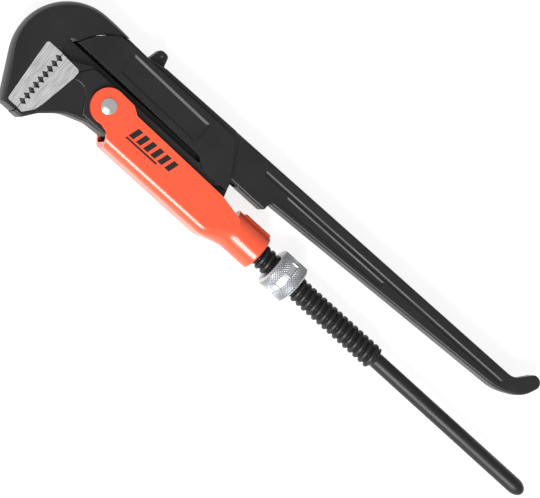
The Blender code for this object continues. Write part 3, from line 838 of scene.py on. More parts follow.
@dataclass
class MainLeg:
    """Box, fixed jaw, arms and flat handle, forged in one."""

    black: bpy.types.Material
    ground: bpy.types.Material
    handle_half: float = 6.5
    box_half: float = 9.2
    ledge_half: float = 7.4
    ledge_width: float = 3.2
    arm_half: float = 8.0
    jaw_half: float = 7.2
    lug_half: float = 3.7
    handle_edge: float = 1.4
    arm_edge: float = 1.1
    jaw_edge: float = 1.8
    lug_edge: float = 1.3
    edge: float = 1.2
    slope: float = 2.4
    seam_edge: float = 0.35
    low_edge: float = 1.7
    slot_gap: float = 0.35
    slot_top_y: float = 17.5
    slot_floor_end_x: float = 9.5
    slot_floor_slope_deg: float = 7.0
    slot_end_x: float = 78.0
    arm_top_y: float = 10.5
    arm_bottom_y: float = -12.0
    arm_end_x: float = 66.0
    window_end_x: float = 54.5
    tab_start_x: float = 57.5
    tab_low_y: float = 8.7
    belly_y: float = 14.6
    belly_end_x: float = 96.4
    low_start_y: float = 19.4
    low_end_y: float = 27.0
    foot_r: float = 3.9
    panel_x: Point = (-7.8, 46.6)
    panel_height: float = 12.2
    panel_drop: float = 1.07
    panel_depth: float = 0.7
    groove_depth: float = 0.45
    groove_width: float = 2.4
    groove_inset: float = 4.9
    groove_start_x: float = 84.0
    ridge_width: float = 0.5
    rim_width: float = 2.4
    wall_lean: float = 1.8
    recess_end_x: float = 168.0
    dimple_r: float = 2.4
    smooth_deg: float = 24.0

    def handle_outline(self) -> list[Point]:
        """Belly, tapering bar and upturned foot."""
        bend = LAYOUT.foot_bend_x
        foot = (bend + 12.5, LAYOUT.back_y + LAYOUT.back_rise + 4.9)
        low = [
            (self.tab_start_x, self.belly_y, 0.0),
            (self.belly_end_x, self.belly_y, 1.5),
            (self.belly_end_x, self.low_start_y, 2.0),
            (bend, self.low_end_y, 26.0),
            (foot[0] + 0.4, foot[1] - 9.2, 14.0),
        ]
        back = [
            (bend + 3.5, LAYOUT.back_edge(bend), 8.0),
            (self.tab_start_x, LAYOUT.back_edge(self.tab_start_x), 0.0),
        ]
        return rounded(low + plain(arc(foot, self.foot_r, -20.0, 150.0)) + back)

    def box_outline(self) -> list[Point]:
        """The box's raised face with the tab at its far end."""
        back = LAYOUT.back_edge(0.0) - self.ledge_width
        end = shoulder(back - 0.5, LAYOUT.box_low_left_y, LAYOUT.box_arc_r)
        low = [
            (52.0, 12.8, 3.0),
            (self.tab_start_x, self.tab_low_y, 1.6),
            (74.4, self.tab_low_y, 1.4),
            (73.4, 13.6, 0.0),
            (69.6, 20.0, 14.0),
            (60.4, LAYOUT.back_edge(60.0) - self.ledge_width, 5.0),
            (-12.0, back - 0.1, 6.0),
        ]
        return rounded(plain(end) + low)

    def ledge_outline(self) -> list[Point]:
        """The lower step between the box's raised face and its back edge."""
        end = shoulder(LAYOUT.back_y - 1.6, 20.0, LAYOUT.box_arc_r - 0.1)
        rest = [
            (66.0, 20.0, 0.0),
            (70.6, 19.0, 0.0),
            (69.6, 22.0, 8.0),
            (61.5, LAYOUT.back_edge(60.0), 6.0),
            (11.0, LAYOUT.back_edge(11.0), 2.0),
            (0.0, LAYOUT.back_y - 2.0, 0.0),
        ]
        return rounded(plain(end) + rest)

    def lug_outline(self) -> list[Point]:
        """The lug on the back of the box."""
        base, top = LAYOUT.back_y - 4.0, LAYOUT.back_y + 6.4
        return rounded([
            (0.2, base, 0.0),
            (13.4, base, 0.0),
            (13.4, LAYOUT.back_y - 0.2, 0.0),
            (9.8, LAYOUT.back_y + 0.6, 1.2),
            (8.2, top, 2.4),
            (2.8, top, 2.4),
        ])

    def jaw_outline(self) -> list[Point]:
        """The fixed jaw, back to the arms."""
        line_x = LAYOUT.tooth_line_x
        under = [
            (line_x + 4.7, LAYOUT.jaw_tip_y, 1.4),
            (line_x + 10.3, -26.2, 8.0),
            (line_x + 19.9, -17.6, 20.0),
            (-2.0, -12.8, 12.0),
            (self.slot_floor_end_x, self.arm_bottom_y, 0.0),
        ]
        upper = [
            (self.slot_floor_end_x, 0.0, 0.0),
            (-18.0, 10.4, 2.0),
            (line_x + 4.6, LAYOUT.jaw_base_y - TOOTH_INSET, 0.0),
        ]
        (base_x, base_y), *teeth = LAYOUT.toothed_line(
            line_x + TOOTH_INSET, LAYOUT.tooth_depth, LAYOUT.jaw_tip_y)
        return rounded(plain([(base_x, base_y - TOOTH_INSET), *teeth]) + under + upper)

    def boss_outline(self) -> list[Point]:
        """The ground flank of the fixed jaw."""
        line_x = LAYOUT.tooth_line_x
        tip_y = LAYOUT.boss_tip_y
        far_side = [
            (line_x + 3.3, tip_y, 0.5),
            (line_x + 7.5, tip_y + 5.4, 4.0),
            (line_x + 8.9, tip_y + 10.4, 6.0),
            (line_x + 12.3, -1.0, 3.0),
            (line_x + 12.3, LAYOUT.jaw_base_y - 0.6, 1.8),
        ]
        return rounded(plain(LAYOUT.toothed_line(line_x, LAYOUT.tooth_depth, tip_y)) + far_side)

    def arm_outline(self) -> list[Point]:
        """Side wall that ties the fixed jaw to the box, inside the sleeve."""
        line_x = LAYOUT.tooth_line_x
        roof_y = self.slot_top_y + 2.0
        return rounded([
            (line_x + 12.5, LAYOUT.jaw_base_y - 0.6, 0.0),
            (line_x + 12.9, -1.2, 0.0),
            (-17.0, -0.4, 5.0),
            (-12.6, -3.6, 2.0),
            (-7.4, self.arm_bottom_y, 0.0),
            (self.arm_end_x, self.arm_bottom_y, 4.0),
            (self.arm_end_x, 4.0, 4.0),
            (71.7, 9.7, 0.0),
            (70.2, roof_y, 0.0),
            (self.window_end_x, roof_y, 0.0),
            (self.window_end_x, self.arm_top_y, 1.6),
            (line_x + 17.4, self.arm_top_y, 3.0),
        ])

    def slot(self) -> bpy.types.Object:
        """Cutter for the slot that the shank slides in."""
        drop = self.slot_floor_end_x * math.tan(math.radians(self.slot_floor_slope_deg))
        far_left = -LAYOUT.box_arc_r - OVERRUN
        deep = self.arm_bottom_y - OVERRUN
        outline = [
            (far_left, LAYOUT.jaw_base_y),
            (0.0, LAYOUT.jaw_base_y),
            (self.slot_floor_end_x, LAYOUT.jaw_base_y - drop),
            (self.slot_floor_end_x, deep),
            (self.slot_end_x, deep),
            (self.slot_end_x, self.slot_top_y),
            (far_left, self.slot_top_y),
        ]
        half = LAYOUT.shank_half + self.slot_gap
        return plate("slot", outline, -half, half)

    def sink(self, leg: bpy.types.Object, corners: Sequence[Corner], half: float, depth: float) -> None:
        """Sink a shallow recess with sloping walls into both faces.

        Args:
            leg: the piece to cut.
            corners: mouth of the recess, from its lower left corner round.
            half: height of the faces above the middle.
            depth: depth of the recess.
        """
        reach = 1.0  # how far the cutter stands above the face
        signs = ((1, 1), (-1, 1), (-1, -1), (1, -1))

        def drawn_in(by: float) -> list[Point]:
            """The mouth's outline, moved inwards by a distance."""
            moved = zip(corners, signs)
            return rounded([(x + sx * by, y + sy * by, r) for (x, y, r), (sx, sy) in moved])

        flare = depth * self.wall_lean
        for face in (1, -1):
            floor = [at(x, y, face * (half - depth)) for x, y in drawn_in(flare)]
            mouth = [at(x, y, face * (half + reach)) for x, y in drawn_in(-reach * self.wall_lean)]
            combine(leg, dress(loft("recess", [floor, mouth]), self.black), Join.CUT)

    def sink_recesses(self, leg: bpy.types.Object) -> None:
        """Sink the box's panel, the handle's long groove and the panel below it."""
        left, right = self.panel_x
        low = LAYOUT.box_low_left_y + 2.5
        self.sink(leg, [
            (left, low, 1.2),
            (right, low - self.panel_drop, 1.2),
            (right, low - self.panel_drop + self.panel_height, 1.2),
            (left, low + self.panel_height, 1.2),
        ], self.box_half, self.panel_depth)
        back = LAYOUT.back_edge
        start_x, end_x = self.groove_start_x, LAYOUT.foot_bend_x
        top, bottom = self.groove_inset, self.groove_inset + self.groove_width
        self.sink(leg, [
            (start_x, back(start_x) - bottom, 0.3),
            (end_x, back(end_x) - bottom, 0.3),
            (end_x, back(end_x) - top, 0.3),
            (start_x, back(start_x) - top, 0.3),
        ], self.handle_half, self.groove_depth)
        start_x, end_x = self.belly_end_x + 4.0, self.recess_end_x
        rise = (self.low_end_y - self.low_start_y) / (LAYOUT.foot_bend_x - self.belly_end_x)
        rim = self.low_start_y + self.rim_width
        top = bottom + self.ridge_width
        self.sink(leg, [
            (start_x, rim + rise * (start_x - self.belly_end_x), 0.8),
            (end_x, rim + rise * (end_x - self.belly_end_x), 0.3),
            (end_x, back(end_x) - top, 0.3),
            (start_x, back(start_x) - top, 0.8),
        ], self.handle_half, self.groove_depth)

    def lug(self) -> bpy.types.Object:
        """The lug, with a shallow dimple near its tip."""
        lug = plate("lug", self.lug_outline(), -self.lug_half, self.lug_half)
        soften(lug, self.lug_edge)
        tip = at(5.4, LAYOUT.back_y + 2.6, self.lug_half + 1.9)
        deselect()
        bpy.ops.mesh.primitive_uv_sphere_add(
            radius=self.dimple_r * MM, location=tip, segments=24, ring_count=16)
        ball = bpy.context.object
        bpy.ops.object.transform_apply(location=True)
        combine(lug, ball, Join.CUT)
        return dress(lug, self.black)

    def members(self) -> list[bpy.types.Object]:
        """Every solid that is added to the handle."""
        ledge = plate("ledge", self.ledge_outline(), -self.ledge_half, self.ledge_half)
        soften(ledge, self.edge)
        box = plate("box", self.box_outline(), -self.box_half, self.box_half)
        seam_r = LAYOUT.box_arc_r - 0.6
        soften(box, self.slope, 5, lambda p: p.x > 58.0 and p.y > 14.0)
        soften(box, self.seam_edge, 2, lambda p: p.x < 0.0 and p.xy.length > seam_r)
        soften(box, self.low_edge, 4, lambda p: p.y < 14.9 and p.x > -32.0)
        arm = plate("arm", self.arm_outline(), -self.arm_half, self.arm_half)
        soften(arm, self.arm_edge)
        jaw = plate("jaw", self.jaw_outline(), -self.jaw_half, self.jaw_half)
        soften(jaw, self.jaw_edge, 4, lambda p: p.y < -9.0 and p.x > LAYOUT.tooth_line_x + 2.0)
        boss_half = self.jaw_half + LAYOUT.boss_proud
        boss = plate("boss", self.boss_outline(), -boss_half, boss_half)
        root_x = LAYOUT.tooth_line_x + LAYOUT.tooth_depth
        soften(boss, LAYOUT.boss_edge, 2, lambda p: p.x > root_x + 0.3)
        return [dress(part, self.black) for part in (ledge, box, arm, jaw)] + [
            self.lug(), dress_flats(boss, self.black, self.ground)]

    def build(self) -> bpy.types.Object:
        """Model, dress and hand over the main leg.

        Returns:
            The finished piece.
        """
        leg = plate("main_leg_forging", self.handle_outline(), -self.handle_half, self.handle_half)
        soften(leg, self.handle_edge)
        dress(leg, self.black)
        for member in self.members():
            combine(leg, member, Join.ADD)
        combine(leg, dress(self.slot(), self.black), Join.CUT)
        combine(leg, dress(rivet_hole(self.box_half), self.black), Join.CUT)
        self.sink_recesses(leg)
        shade(leg, self.smooth_deg)
        hand_over(leg, Body.MAIN_LEG, "main_leg")
        return leg


# ---- threaded leg ---------------------------------------------------------------------


@dataclass
class ThreadedLeg:
    """Hook jaw, flat shank, threaded spindle and round handle, forged in one."""

    black: bpy.types.Material
    ground: bpy.types.Material
    hook_half: float = 8.0
    back_centre: Point = (-29.5, 4.5)
    back_r: float = 30.5
    rim_in: float = 3.0
    rim_down: float = 7.0
    tip_share: float = 0.3
    facet_deg: float = 10.0
    facet_high: Point = (-49.2, 23.0)
    facet_low: Point = (-45.6, -28.4)
    shank_top_y: float = 13.5
    shank_bottom_y: float = 5.0
    shank_end_x: float = 78.3
    neck_r: float = 4.1
    thread_r: float = 6.4
    thread_depth: float = 1.2
    thread_pitch: float = 3.6
    thread_start_x: float = 106.5
    thread_end_x: float = 191.5
    crest_power: float = 2.2
    rows_per_turn: int = 14
    runout: float = 1.6
    rod_r: float = 4.2
    rod_end_x: float = 294.5
    tip_stretch: float = 1.5
    smooth_deg: float = 26.0

    @property
    def tip(self) -> Point:
        """Tip of the hook jaw, before it is rounded."""
        return LAYOUT.tooth_line_x - 8.5, LAYOUT.jaw_tip_y

    def tangent(self) -> float:
        """Angle on the round back, in radians, where the straight line to the tip leaves it."""
        offset = Vector(self.tip) - Vector(self.back_centre)
        return math.atan2(offset.y, offset.x) - math.acos(self.back_r / offset.length)

    def hook_outline(self) -> list[Point]:
        """The hook jaw, from its shoulder round to its tip and up the teeth."""
        line_x = LAYOUT.tooth_line_x - LAYOUT.jaw_gap
        back = arc(self.back_centre, self.back_r, 86.0, math.degrees(self.tangent()) % 360)
        throat = [
            (line_x - 1.4, LAYOUT.jaw_base_y + 0.6, 0.0),
            (line_x - 3.1, LAYOUT.box_low_left_y + 0.3, 4.2),
        ]
        teeth = LAYOUT.toothed_line(
            line_x - TOOTH_INSET, -LAYOUT.tooth_depth, LAYOUT.jaw_tip_y)
        teeth.reverse()
        end = shoulder(
            LAYOUT.box_low_left_y + 0.6, LAYOUT.back_y - 1.2, LAYOUT.box_arc_r + LAYOUT.clearance)
        return rounded(plain(back) + [(*self.tip, 1.8)] + plain(teeth) + throat + plain(end))

    def back_outline(self, inset: float) -> list[Point]:
        """Draw the hook's round back and tip, moved inwards.

        Args:
            inset: how far the outline is moved inwards.

        Returns:
            The outline, closed well clear of the rest of the hook.
        """
        centre, radius = self.back_centre, self.back_r
        tip = Vector(self.tip)
        tangent = self.tangent()
        inwards = -Vector((math.cos(tangent), math.sin(tangent)))
        far_x = 20.0
        low_y = LAYOUT.jaw_tip_y + inset * self.tip_share
        along = Vector((-inwards.y, inwards.x))
        foot = tip + inwards * inset
        foot += along * ((low_y - foot.y) / along.y)
        back = arc(centre, radius - inset, 90.0, math.degrees(tangent) % 360)
        return [*back, tuple(foot), (far_x, low_y), (far_x, centre[1] + radius - inset)]

    def rims(self) -> bpy.types.Object:
        """Solid whose rounded rims are kept in common with the hook's back."""
        base = self.hook_half - self.rim_down
        upper = [(self.rim_in * (1 - x), base + self.rim_down * z)
                 for x, z in arc((0.0, 0.0), 1.0, 0.0, 90.0)[::3]]
        stack = [(inset, -z) for inset, z in reversed(upper)] + upper
        return loft("rims", [[at(x, y, z) for x, y in self.back_outline(inset)] for inset, z in stack])

    def boss_outline(self) -> list[Point]:
        """The ground flank of the hook jaw."""
        line_x = LAYOUT.tooth_line_x - LAYOUT.jaw_gap
        far_side = [
            (line_x - 6.6, LAYOUT.boss_tip_y, 1.5),
            (line_x - 10.2, LAYOUT.jaw_base_y, 1.5),
        ]
        teeth = LAYOUT.toothed_line(line_x, -LAYOUT.tooth_depth, LAYOUT.boss_tip_y)
        return rounded(plain(teeth) + far_side)

    def cut_facets(self, hook: bpy.types.Object) -> None:
        """Slope the outer part of both faces down towards the hook's back."""
        high, low = at(*self.facet_high, self.hook_half), at(*self.facet_low, self.hook_half)
        along = (low - high).normalized()
        slope = math.radians(self.facet_deg)
        for face in (1, -1):
            lift = Vector((0.0, 0.0, (face - 1) * self.hook_half * MM))
            outwards = Vector((along.y, -along.x, 0.0))
            if outwards.x > 0:
                outwards.negate()
            normal = outwards * math.sin(slope) + Vector((0.0, 0.0, face * math.cos(slope)))
            with editing(hook):
                bpy.ops.mesh.bisect(
                    plane_co=high + lift, plane_no=normal, use_fill=True, clear_outer=True)

    def hook(self) -> bpy.types.Object:
        """The hook jaw with its facets and rounded rims."""
        hook = plate("threaded_leg_forging", self.hook_outline(), -self.hook_half, self.hook_half)
        self.cut_facets(hook)
        soften(hook, 0.3, 2, lambda p: LAYOUT.jaw_base_y + 1.0 < p.y < LAYOUT.box_low_left_y + 0.5)
        combine(dress(hook, self.black), dress(self.rims(), self.black), Join.KEEP_COMMON)
        return hook

    def shank(self) -> bpy.types.Object:
        """The flat bar between the hook and the spindle."""
        axis = drawn(SPINDLE).y
        end_half = 4.4
        root_x = -45.0
        shank = plate("shank", rounded([
            (root_x, self.shank_bottom_y, 0.0),
            (50.0, self.shank_bottom_y, 3.0),
            (56.0, axis - end_half, 3.0),
            (self.shank_end_x, axis - end_half, 0.0),
            (self.shank_end_x, axis + end_half, 0.0),
            (self.shank_end_x - 4.0, self.shank_top_y, 1.5),
            (root_x, self.shank_top_y, 0.0),
        ]), -LAYOUT.shank_half, LAYOUT.shank_half)
        soften(shank, 0.7, 2)
        return dress(shank, self.black)

    def thread_radius(self, x: float, angle: float) -> float:
        """Radius of the right-handed round thread at one place on the spindle.

        Args:
            x: place along the spindle.
            angle: turn round its axis.

        Returns:
            The radius there.
        """
        wave = 0.5 + 0.5 * math.cos(math.tau * x / self.thread_pitch - angle)
        fullness = 1 - (1 - wave) ** self.crest_power
        into = min(x - self.thread_start_x, self.thread_end_x - x) / self.runout
        crest = self.thread_r - self.thread_depth * (1 - fullness)
        return blend(self.neck_r, crest, into)

    def spindle(self) -> bpy.types.Object:
        """Neck, thread and rod handle as one round bar with a domed tip."""
        length = self.thread_end_x - self.thread_start_x
        rows = round(length / self.thread_pitch * self.rows_per_turn)
        neck_x = (self.shank_end_x - 3.0, self.thread_start_x - 1.0)
        rings = [ring_x(x, lambda _: self.neck_r) for x in neck_x]
        for row in range(rows + 1):
            x = self.thread_start_x + length * row / rows
            rings.append(ring_x(x, lambda a, x=x: self.thread_radius(x, a)))
        rings.append(ring_x(self.thread_end_x + 1.0, lambda _: self.rod_r))
        tip = self.rod_r * self.tip_stretch
        for x, radius in arc((0.0, 0.0), self.rod_r, 90.0, 0.0):
            place = self.rod_end_x - tip + x * self.tip_stretch
            rings.append(ring_x(place, lambda _, r=radius: max(r, 0.0)))
        return dress(loft("spindle", rings), self.black)

    def build(self) -> bpy.types.Object:
        """Model, dress and hand over the threaded leg.

        Returns:
            The finished piece.
        """
        leg = self.hook()
        boss_half = self.hook_half + LAYOUT.boss_proud
        boss = plate("hook_boss", self.boss_outline(), -boss_half, boss_half)
        root_x = LAYOUT.tooth_line_x - LAYOUT.jaw_gap - LAYOUT.tooth_depth
        soften(boss, LAYOUT.boss_edge, 2, lambda p: p.x < root_x - 0.3 and p.y > LAYOUT.boss_tip_y + 0.5)
        for member in (dress_flats(boss, self.black, self.ground), self.shank(), self.spindle()):
            combine(leg, member, Join.ADD)
        shade(leg, self.smooth_deg)
        hand_over(leg, Body.THREADED_LEG, "threaded_leg")
        return leg


# ---- sleeve ---------------------------------------------------------------------------


@dataclass
class Sleeve:
    """Pressed sheet sleeve: two ears, a channel and a round neck with a lapped seam."""

    paint: bpy.types.Material
    bottom_y: float = -16.7
    fold_r: float = 5.0
    top_y: float = 6.2
    floor_start_x: float = 9.2
    floor_lean: float = 6.0
    ear_r: float = 9.6
    ear_flat_end_x: float = 9.8
    morph_start_x: float = 76.0
    morph_end_x: float = 94.0
    neck_start_x: float = 88.0
    neck_end_x: float = 109.4
    neck_r: float = 10.0
    neck_wall: float = 2.8
    lip_half: float = 4.6
    lip_start_x: float = 91.2
    lip_height: float = 0.7
    rim: float = 1.1
    smooth_deg: float = 35.0

    def section(self, x: float, inset: float) -> list[Vector]:
        """The folded section at one x, drawn in by a wall thickness.

        Args:
            x: place along the sleeve.
            inset: thickness that the section is drawn in by.

        Returns:
            World places of the section's points, from one top edge round to the other.
        """
        axis = drawn(SPINDLE).y
        share = (x - self.morph_start_x) / (self.morph_end_x - self.morph_start_x)
        half = blend(LAYOUT.sleeve_half, self.neck_r, share) - inset
        radius = blend(self.fold_r, self.neck_r, share) - inset
        bottom = blend(self.bottom_y, axis - self.neck_r, share) + inset
        top = self.ear_r + OVERRUN
        left = arc((-half + radius, bottom + radius), radius, 180.0, 270.0)
        right = arc((half - radius, bottom + radius), radius, 270.0, 360.0)
        return [at(x, y, z) for z, y in [(-half, top), *left, *right, (half, top)]]

    def body(
        self, name: str, start: float, end: float, inset: float, neck_inset: float
    ) -> bpy.types.Object:
        """Make a solid along the folded section.

        Args:
            name: the solid's name.
            start: place of its first end.
            end: place of its other end.
            inset: thickness that the channel's section is drawn in by.
            neck_inset: the same for the neck's.

        Returns:
            The closed solid.
        """
        stations = [start, *range(int(self.morph_start_x), int(end) + 1), end]
        rings = []
        for x in sorted(set(float(station) for station in stations)):
            share = (x - self.morph_start_x) / (self.morph_end_x - self.morph_start_x)
            rings.append(self.section(x, blend(inset, neck_inset, share)))
        return dress(loft(name, rings), self.paint)

    def side_outline(self) -> list[Point]:
        """Side view of the cheeks: floor, top edge, ear and the notch under it."""
        axis = drawn(SPINDLE).y
        deep = self.bottom_y - OVERRUN
        return rounded([
            (self.floor_start_x + self.floor_lean, deep, 0.0),
            (self.morph_end_x, deep, 0.0),
            (self.morph_end_x, axis, 0.0),
            (self.neck_start_x + 1.5, 2.4, 2.0),
            (75.0, 5.2, 10.0),
            (self.ear_flat_end_x + 4.7, self.top_y, 1.5),
            (self.ear_flat_end_x, self.ear_r - 0.4, 1.5),
            *plain(arc((0.0, 0.0), self.ear_r, 82.0, 286.0)),
            (self.floor_start_x - 2.0, -10.2, 1.5),
            (self.floor_start_x, -12.4, 1.0),
        ])

    def neck(self) -> bpy.types.Object:
        """The round neck with a rolled rim."""
        rim = [(self.neck_end_x - self.rim + x, self.neck_r - self.rim + y)
               for x, y in arc((0.0, 0.0), self.rim, 90.0, 0.0)]
        return dress(turned("neck", [(self.neck_start_x, self.neck_r), *rim]), self.paint)

    def lip(self) -> bpy.types.Object:
        """The lapped seam on the neck's side towards the main handle."""
        axis = drawn(SPINDLE).y
        top = axis + self.neck_r + self.lip_height
        base = axis + self.neck_r - 3.5
        section = rounded([
            (-self.lip_half, base, 0.0),
            (self.lip_half, base, 0.0),
            (self.lip_half, top, 2.2),
            (-self.lip_half, top, 2.2),
        ])
        rings = [[at(x, y, z) for z, y in section] for x in (self.lip_start_x, self.neck_end_x - 1.2)]
        lip = loft("lip", rings)
        round_sharp(lip, 0.6, 2, 60.0)
        return dress(lip, self.paint)

    def build(self) -> bpy.types.Object:
        """Model, dress and hand over the sleeve.

        Returns:
            The finished piece.
        """
        start = -self.ear_r - OVERRUN
        half = LAYOUT.sleeve_half + OVERRUN
        sleeve = self.body("pressed_sleeve", start, self.morph_end_x, 0.0, 0.0)
        side_view = dress(plate("side_view", self.side_outline(), -half, half), self.paint)
        combine(sleeve, side_view, Join.KEEP_COMMON)
        hollow_end = self.neck_start_x + 2.0
        hollow = self.body("hollow", start, hollow_end, LAYOUT.sheet, self.neck_wall)
        combine(sleeve, hollow, Join.CUT)
        combine(sleeve, dress(rivet_hole(half), self.paint), Join.CUT)
        round_sharp(sleeve, 0.5, 2, 50.0)
        for member in (self.neck(), self.lip()):
            combine(sleeve, member, Join.ADD)
        bore_r = self.neck_r - self.neck_wall
        bore = turned("bore", [(hollow_end - 2.0, bore_r), (self.neck_end_x + OVERRUN, bore_r)])
        combine(sleeve, dress(bore, self.paint), Join.CUT)
        shade(sleeve, self.smooth_deg)
        hand_over(sleeve, Body.SLEEVE, "sleeve")
        return sleeve


# ---- small pieces ---------------------------------------------------------------------


@dataclass
class AdjustingNut:
    """Knurled nut with smooth finger pockets round its middle."""

    zinc: bpy.types.Material
    radius: float = 10.75
    length: float = 15.6
    bore_r: float = 6.7
    chamfer: float = 0.9
    knurls: int = 48
    steps_per_knurl: int = 8
    knurl_depth: float = 0.55
    knurl_edge: float = 6.7
    band_half: float = 1.75
    pockets: int = 8
    pocket_share: float = 0.87
    pocket_depth: float = 0.7
    row_step: float = 0.18
    smooth_deg: float = 28.0

    def surface_radius(self, x: float, angle: float) -> float:
        """Radius of the nut's outside, with x counted from its middle.

        Args:
            x: place along the nut.
            angle: turn round its axis.

        Returns:
            The radius there, with knurling or a pocket taken off.
        """
        if abs(x) < self.band_half:
            place = abs((angle / math.tau * self.pockets) % 1 - 0.5)
            wall = 0.02  # share of a pocket's turn that its end wall takes
            depth = blend(1.0, 0.0, (place - self.pocket_share / 2) / wall)
            return self.radius - self.pocket_depth * depth
        if abs(x) > self.knurl_edge:
            return self.radius
        turns = angle / math.tau * self.knurls
        pitch = math.tau * self.radius / self.knurls
        ridges = [1 - abs(2 * ((turns + side * x / pitch) % 1) - 1) for side in (1, -1)]
        return self.radius - self.knurl_depth * (1 - min(*ridges, 0.75) / 0.75)

    def rows(self) -> list[tuple[float, float | None]]:
        """Stations round the nut's profile: x, and a fixed radius or None for the outside."""
        end = self.length / 2
        shoulder = end - self.chamfer
        dish = 0.5  # how far the end faces are turned in round the bore
        step = 0.05
        outside = [shoulder]
        x = self.knurl_edge
        while x > self.band_half:
            outside.append(x)
            x -= self.row_step
        outside += [self.band_half + step, self.band_half - step]
        half = outside + [1.0, 0.0]
        whole = half + [-x for x in reversed(half[:-1])]
        front = [
            (-end + dish + 1.2, self.bore_r),
            (end - dish - 1.2, self.bore_r),
            (end - dish, self.bore_r + 1.0),
            (end, self.radius - self.chamfer - 0.9),
            (end, self.radius - self.chamfer),
        ]
        back = [
            (-end, self.radius - self.chamfer),
            (-end, self.radius - self.chamfer - 0.9),
            (-end + dish, self.bore_r + 1.0),
        ]
        return front + [(x, None) for x in whole] + back

    def build(self) -> bpy.types.Object:
        """Model, dress and hand over the nut.

        Returns:
            The finished piece.
        """
        middle = drawn(SPINDLE).x
        steps = self.knurls * self.steps_per_knurl
        rings = []
        for x, fixed in self.rows():
            shape = (lambda a, x=x: self.surface_radius(x, a)) if fixed is None else (lambda _, r=fixed: r)
            rings.append(ring_x(middle + x, shape, steps))
        nut = dress(loft("knurled_nut", rings, closed=True), self.zinc)
        shade(nut, self.smooth_deg)
        hand_over(nut, Body.ADJUSTING_NUT, "adjusting_nut")
        return nut


@dataclass
class PivotRivet:
    """Rivet with two low domed heads, each with a small dimple from the press."""

    steel: bpy.types.Material
    head_r: float = 4.2
    head_height: float = 1.4
    rim_height: float = 0.15
    dimple_r: float = 1.1
    dimple_depth: float = 0.4
    dome_steps: int = 7
    smooth_deg: float = 40.0

    def head(self) -> list[Point]:
        """Head profile as (radius, height), from its pole down to the shaft."""
        under = LAYOUT.sleeve_half + LAYOUT.clearance
        profile = [(0.0, under + self.head_height - self.dimple_depth)]
        for step in range(self.dome_steps + 1):
            share = step / self.dome_steps
            radius = self.dimple_r + (self.head_r - self.dimple_r) * share
            drop = (self.head_height - self.rim_height) * (radius / self.head_r) ** 2
            profile.append((radius, under + self.head_height - drop))
        return profile + [(self.head_r, under), (LAYOUT.rivet_shaft_r, under)]

    def build(self) -> bpy.types.Object:
        """Model, dress and hand over the rivet.

        Returns:
            The finished piece.
        """
        head = self.head()
        profile = head + [(radius, -height) for radius, height in reversed(head)]
        rings = [ring_z(height, radius) for radius, height in profile]
        rivet = dress(loft("pivot_rivet_head_and_shaft", rings), self.steel)
        shade(rivet, self.smooth_deg)
        hand_over(rivet, Body.MAIN_LEG, "pivot_rivet")
        return rivet


@dataclass
class LeafSpring:
    """The bowed leaf spring inside the sleeve, which keeps its CAD shape."""

    steel: bpy.types.Material

    def build(self) -> bpy.types.Object:
        """Dress the CAD node and return it."""
        spring = frame["nodes"]["leaf_spring"]
        dress(spring, self.steel)
        LOG.info("%s: CAD shape kept, dressed as %s", spring.name, self.steel.name)
        return spring


# ---- studio ---------------------------------------------------------------------------


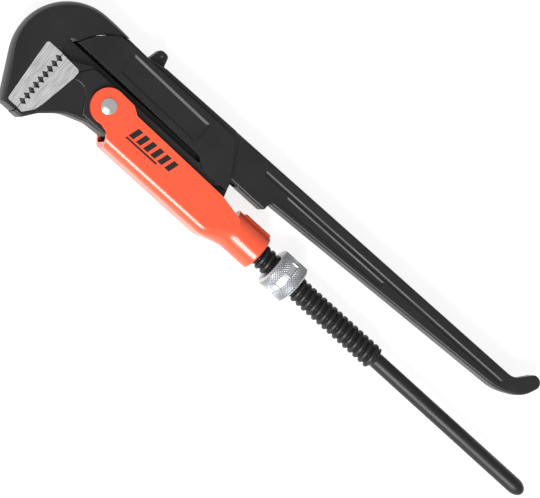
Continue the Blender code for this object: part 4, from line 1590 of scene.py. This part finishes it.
@dataclass
class Studio:
    """Pale floor, soft lights and the camera."""

    floor_colour: str = "#9A9A9A"
    floor_fleck: str = "#A2A2A2"
    glow_colour: str = "#FFFFFF"
    floor_size_m: float = 6.0
    floor_glow: float = 0.82
    floor_gap_mm: float = 0.3
    tilt_deg: float = 14.4
    turn_deg: float = 41.3
    aim_right_mm: float = 81.1
    aim_down_mm: float = 72.1
    distance_m: float = 10.0
    frame_width_mm: float = 273.1
    sensor_mm: float = 36.0
    world_strength: float = 0.5
    clip_end_m: float = 40.0
    lamp_size_m: float = 0.9

    def axes(self) -> Matrix:
        """The camera's right, up and backward axes as a matrix's columns."""
        turn, tilt = math.radians(self.turn_deg), math.radians(self.tilt_deg)
        up = Vector((-math.sin(turn), math.cos(turn), 0.0))
        flat_right = Vector((math.cos(turn), math.sin(turn), 0.0))
        back = Vector((0.0, 0.0, math.cos(tilt))) - flat_right * math.sin(tilt)
        return Matrix((up.cross(back), up, back)).transposed()

    def place_camera(self) -> None:
        """Add the camera."""
        right, up, back = self.axes().transposed()
        rivet_top = at(0.0, 0.0, LAYOUT.sleeve_half + LAYOUT.clearance + 1.2)
        aim = rivet_top + (right * self.aim_right_mm - up * self.aim_down_mm) * MM
        lens = bpy.data.cameras.new("camera")
        lens.sensor_width = self.sensor_mm
        lens.lens = self.sensor_mm * self.distance_m / (self.frame_width_mm * MM)
        lens.clip_end = self.clip_end_m
        camera = bpy.data.objects.new("camera", lens)
        bpy.context.scene.collection.objects.link(camera)
        camera.matrix_world = Matrix.Translation(aim + back * self.distance_m) @ self.axes().to_4x4()
        bpy.context.scene.camera = camera

    def add_light(self, name: str, place: Vector, watts: float) -> None:
        """Add a square soft box that faces the middle of the tool.

        Args:
            name: the lamp's name.
            place: where it stands from the middle of the tool, in metres.
            watts: its power.
        """
        lamp = bpy.data.lights.new(name, "AREA")
        lamp.size = self.lamp_size_m
        lamp.energy = watts
        light = bpy.data.objects.new(name, lamp)
        bpy.context.scene.collection.objects.link(light)
        aim = at(90.0, 10.0)
        turn = place.to_track_quat("Z", "Y").to_matrix().to_4x4()
        light.matrix_world = Matrix.Translation(aim + place) @ turn

    def lay_floor(self) -> None:
        """Add the pale floor just under the tool."""
        low = min(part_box(node)[0].z for node in frame["nodes"])
        deselect()
        place = (0.0, 0.0, low - self.floor_gap_mm * MM)
        bpy.ops.mesh.primitive_plane_add(size=self.floor_size_m, location=place)
        floor = bpy.context.object
        floor.name = "floor"
        material, tree, coordinates = empty_material("pale_paper")
        fibres = noise(tree, coordinates, 1.5)
        colour = mix_colours(tree, fibres, linear(self.floor_colour), linear(self.floor_fleck))
        settings = {"Specular IOR Level": 0.1, "Emission Color": linear(self.glow_colour),
                    "Emission Strength": self.floor_glow}
        surface(tree, colour, ramp(tree, fibres, 0.85, 0.95), fibres, 0.01, settings)
        dress(floor, material)

    def light(self) -> None:
        """Add the sky and the soft boxes."""
        world = bpy.data.worlds.new("studio")
        world.use_nodes = True
        sky = world.node_tree.nodes["Background"].inputs
        sky["Strength"].default_value = self.world_strength
        sky["Color"].default_value = (1.0, 1.0, 1.0, 1.0)
        bpy.context.scene.world = world
        self.add_light("key", Vector((0.35, -1.35, 1.55)), 44.0)
        self.add_light("low_key", Vector((-0.3, -2.0, 0.9)), 14.0)
        bpy.context.scene.view_settings.view_transform = "Standard"

    def build(self) -> None:
        """Set up the whole studio."""
        self.lay_floor()
        self.light()
        self.place_camera()
        LOG.info("studio: floor, lights and camera")


def main() -> None:
    """Build every sub-assembly in order."""
    logging.basicConfig(level=logging.INFO, format="%(message)s")
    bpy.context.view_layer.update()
    black = ForgedBlack().material()
    ground = GroundSteel().material()
    assemblies = (
        MainLeg(black, ground),
        ThreadedLeg(black, ground),
        Sleeve(GlossPaint().material()),
        AdjustingNut(ZINC_PLATE.material()),
        PivotRivet(RIVET_STEEL.material()),
        LeafSpring(SPRING_STEEL.material()),
        Studio(),
    )
    for assembly in assemblies:
        assembly.build()


if __name__ == "__main__":
    main()
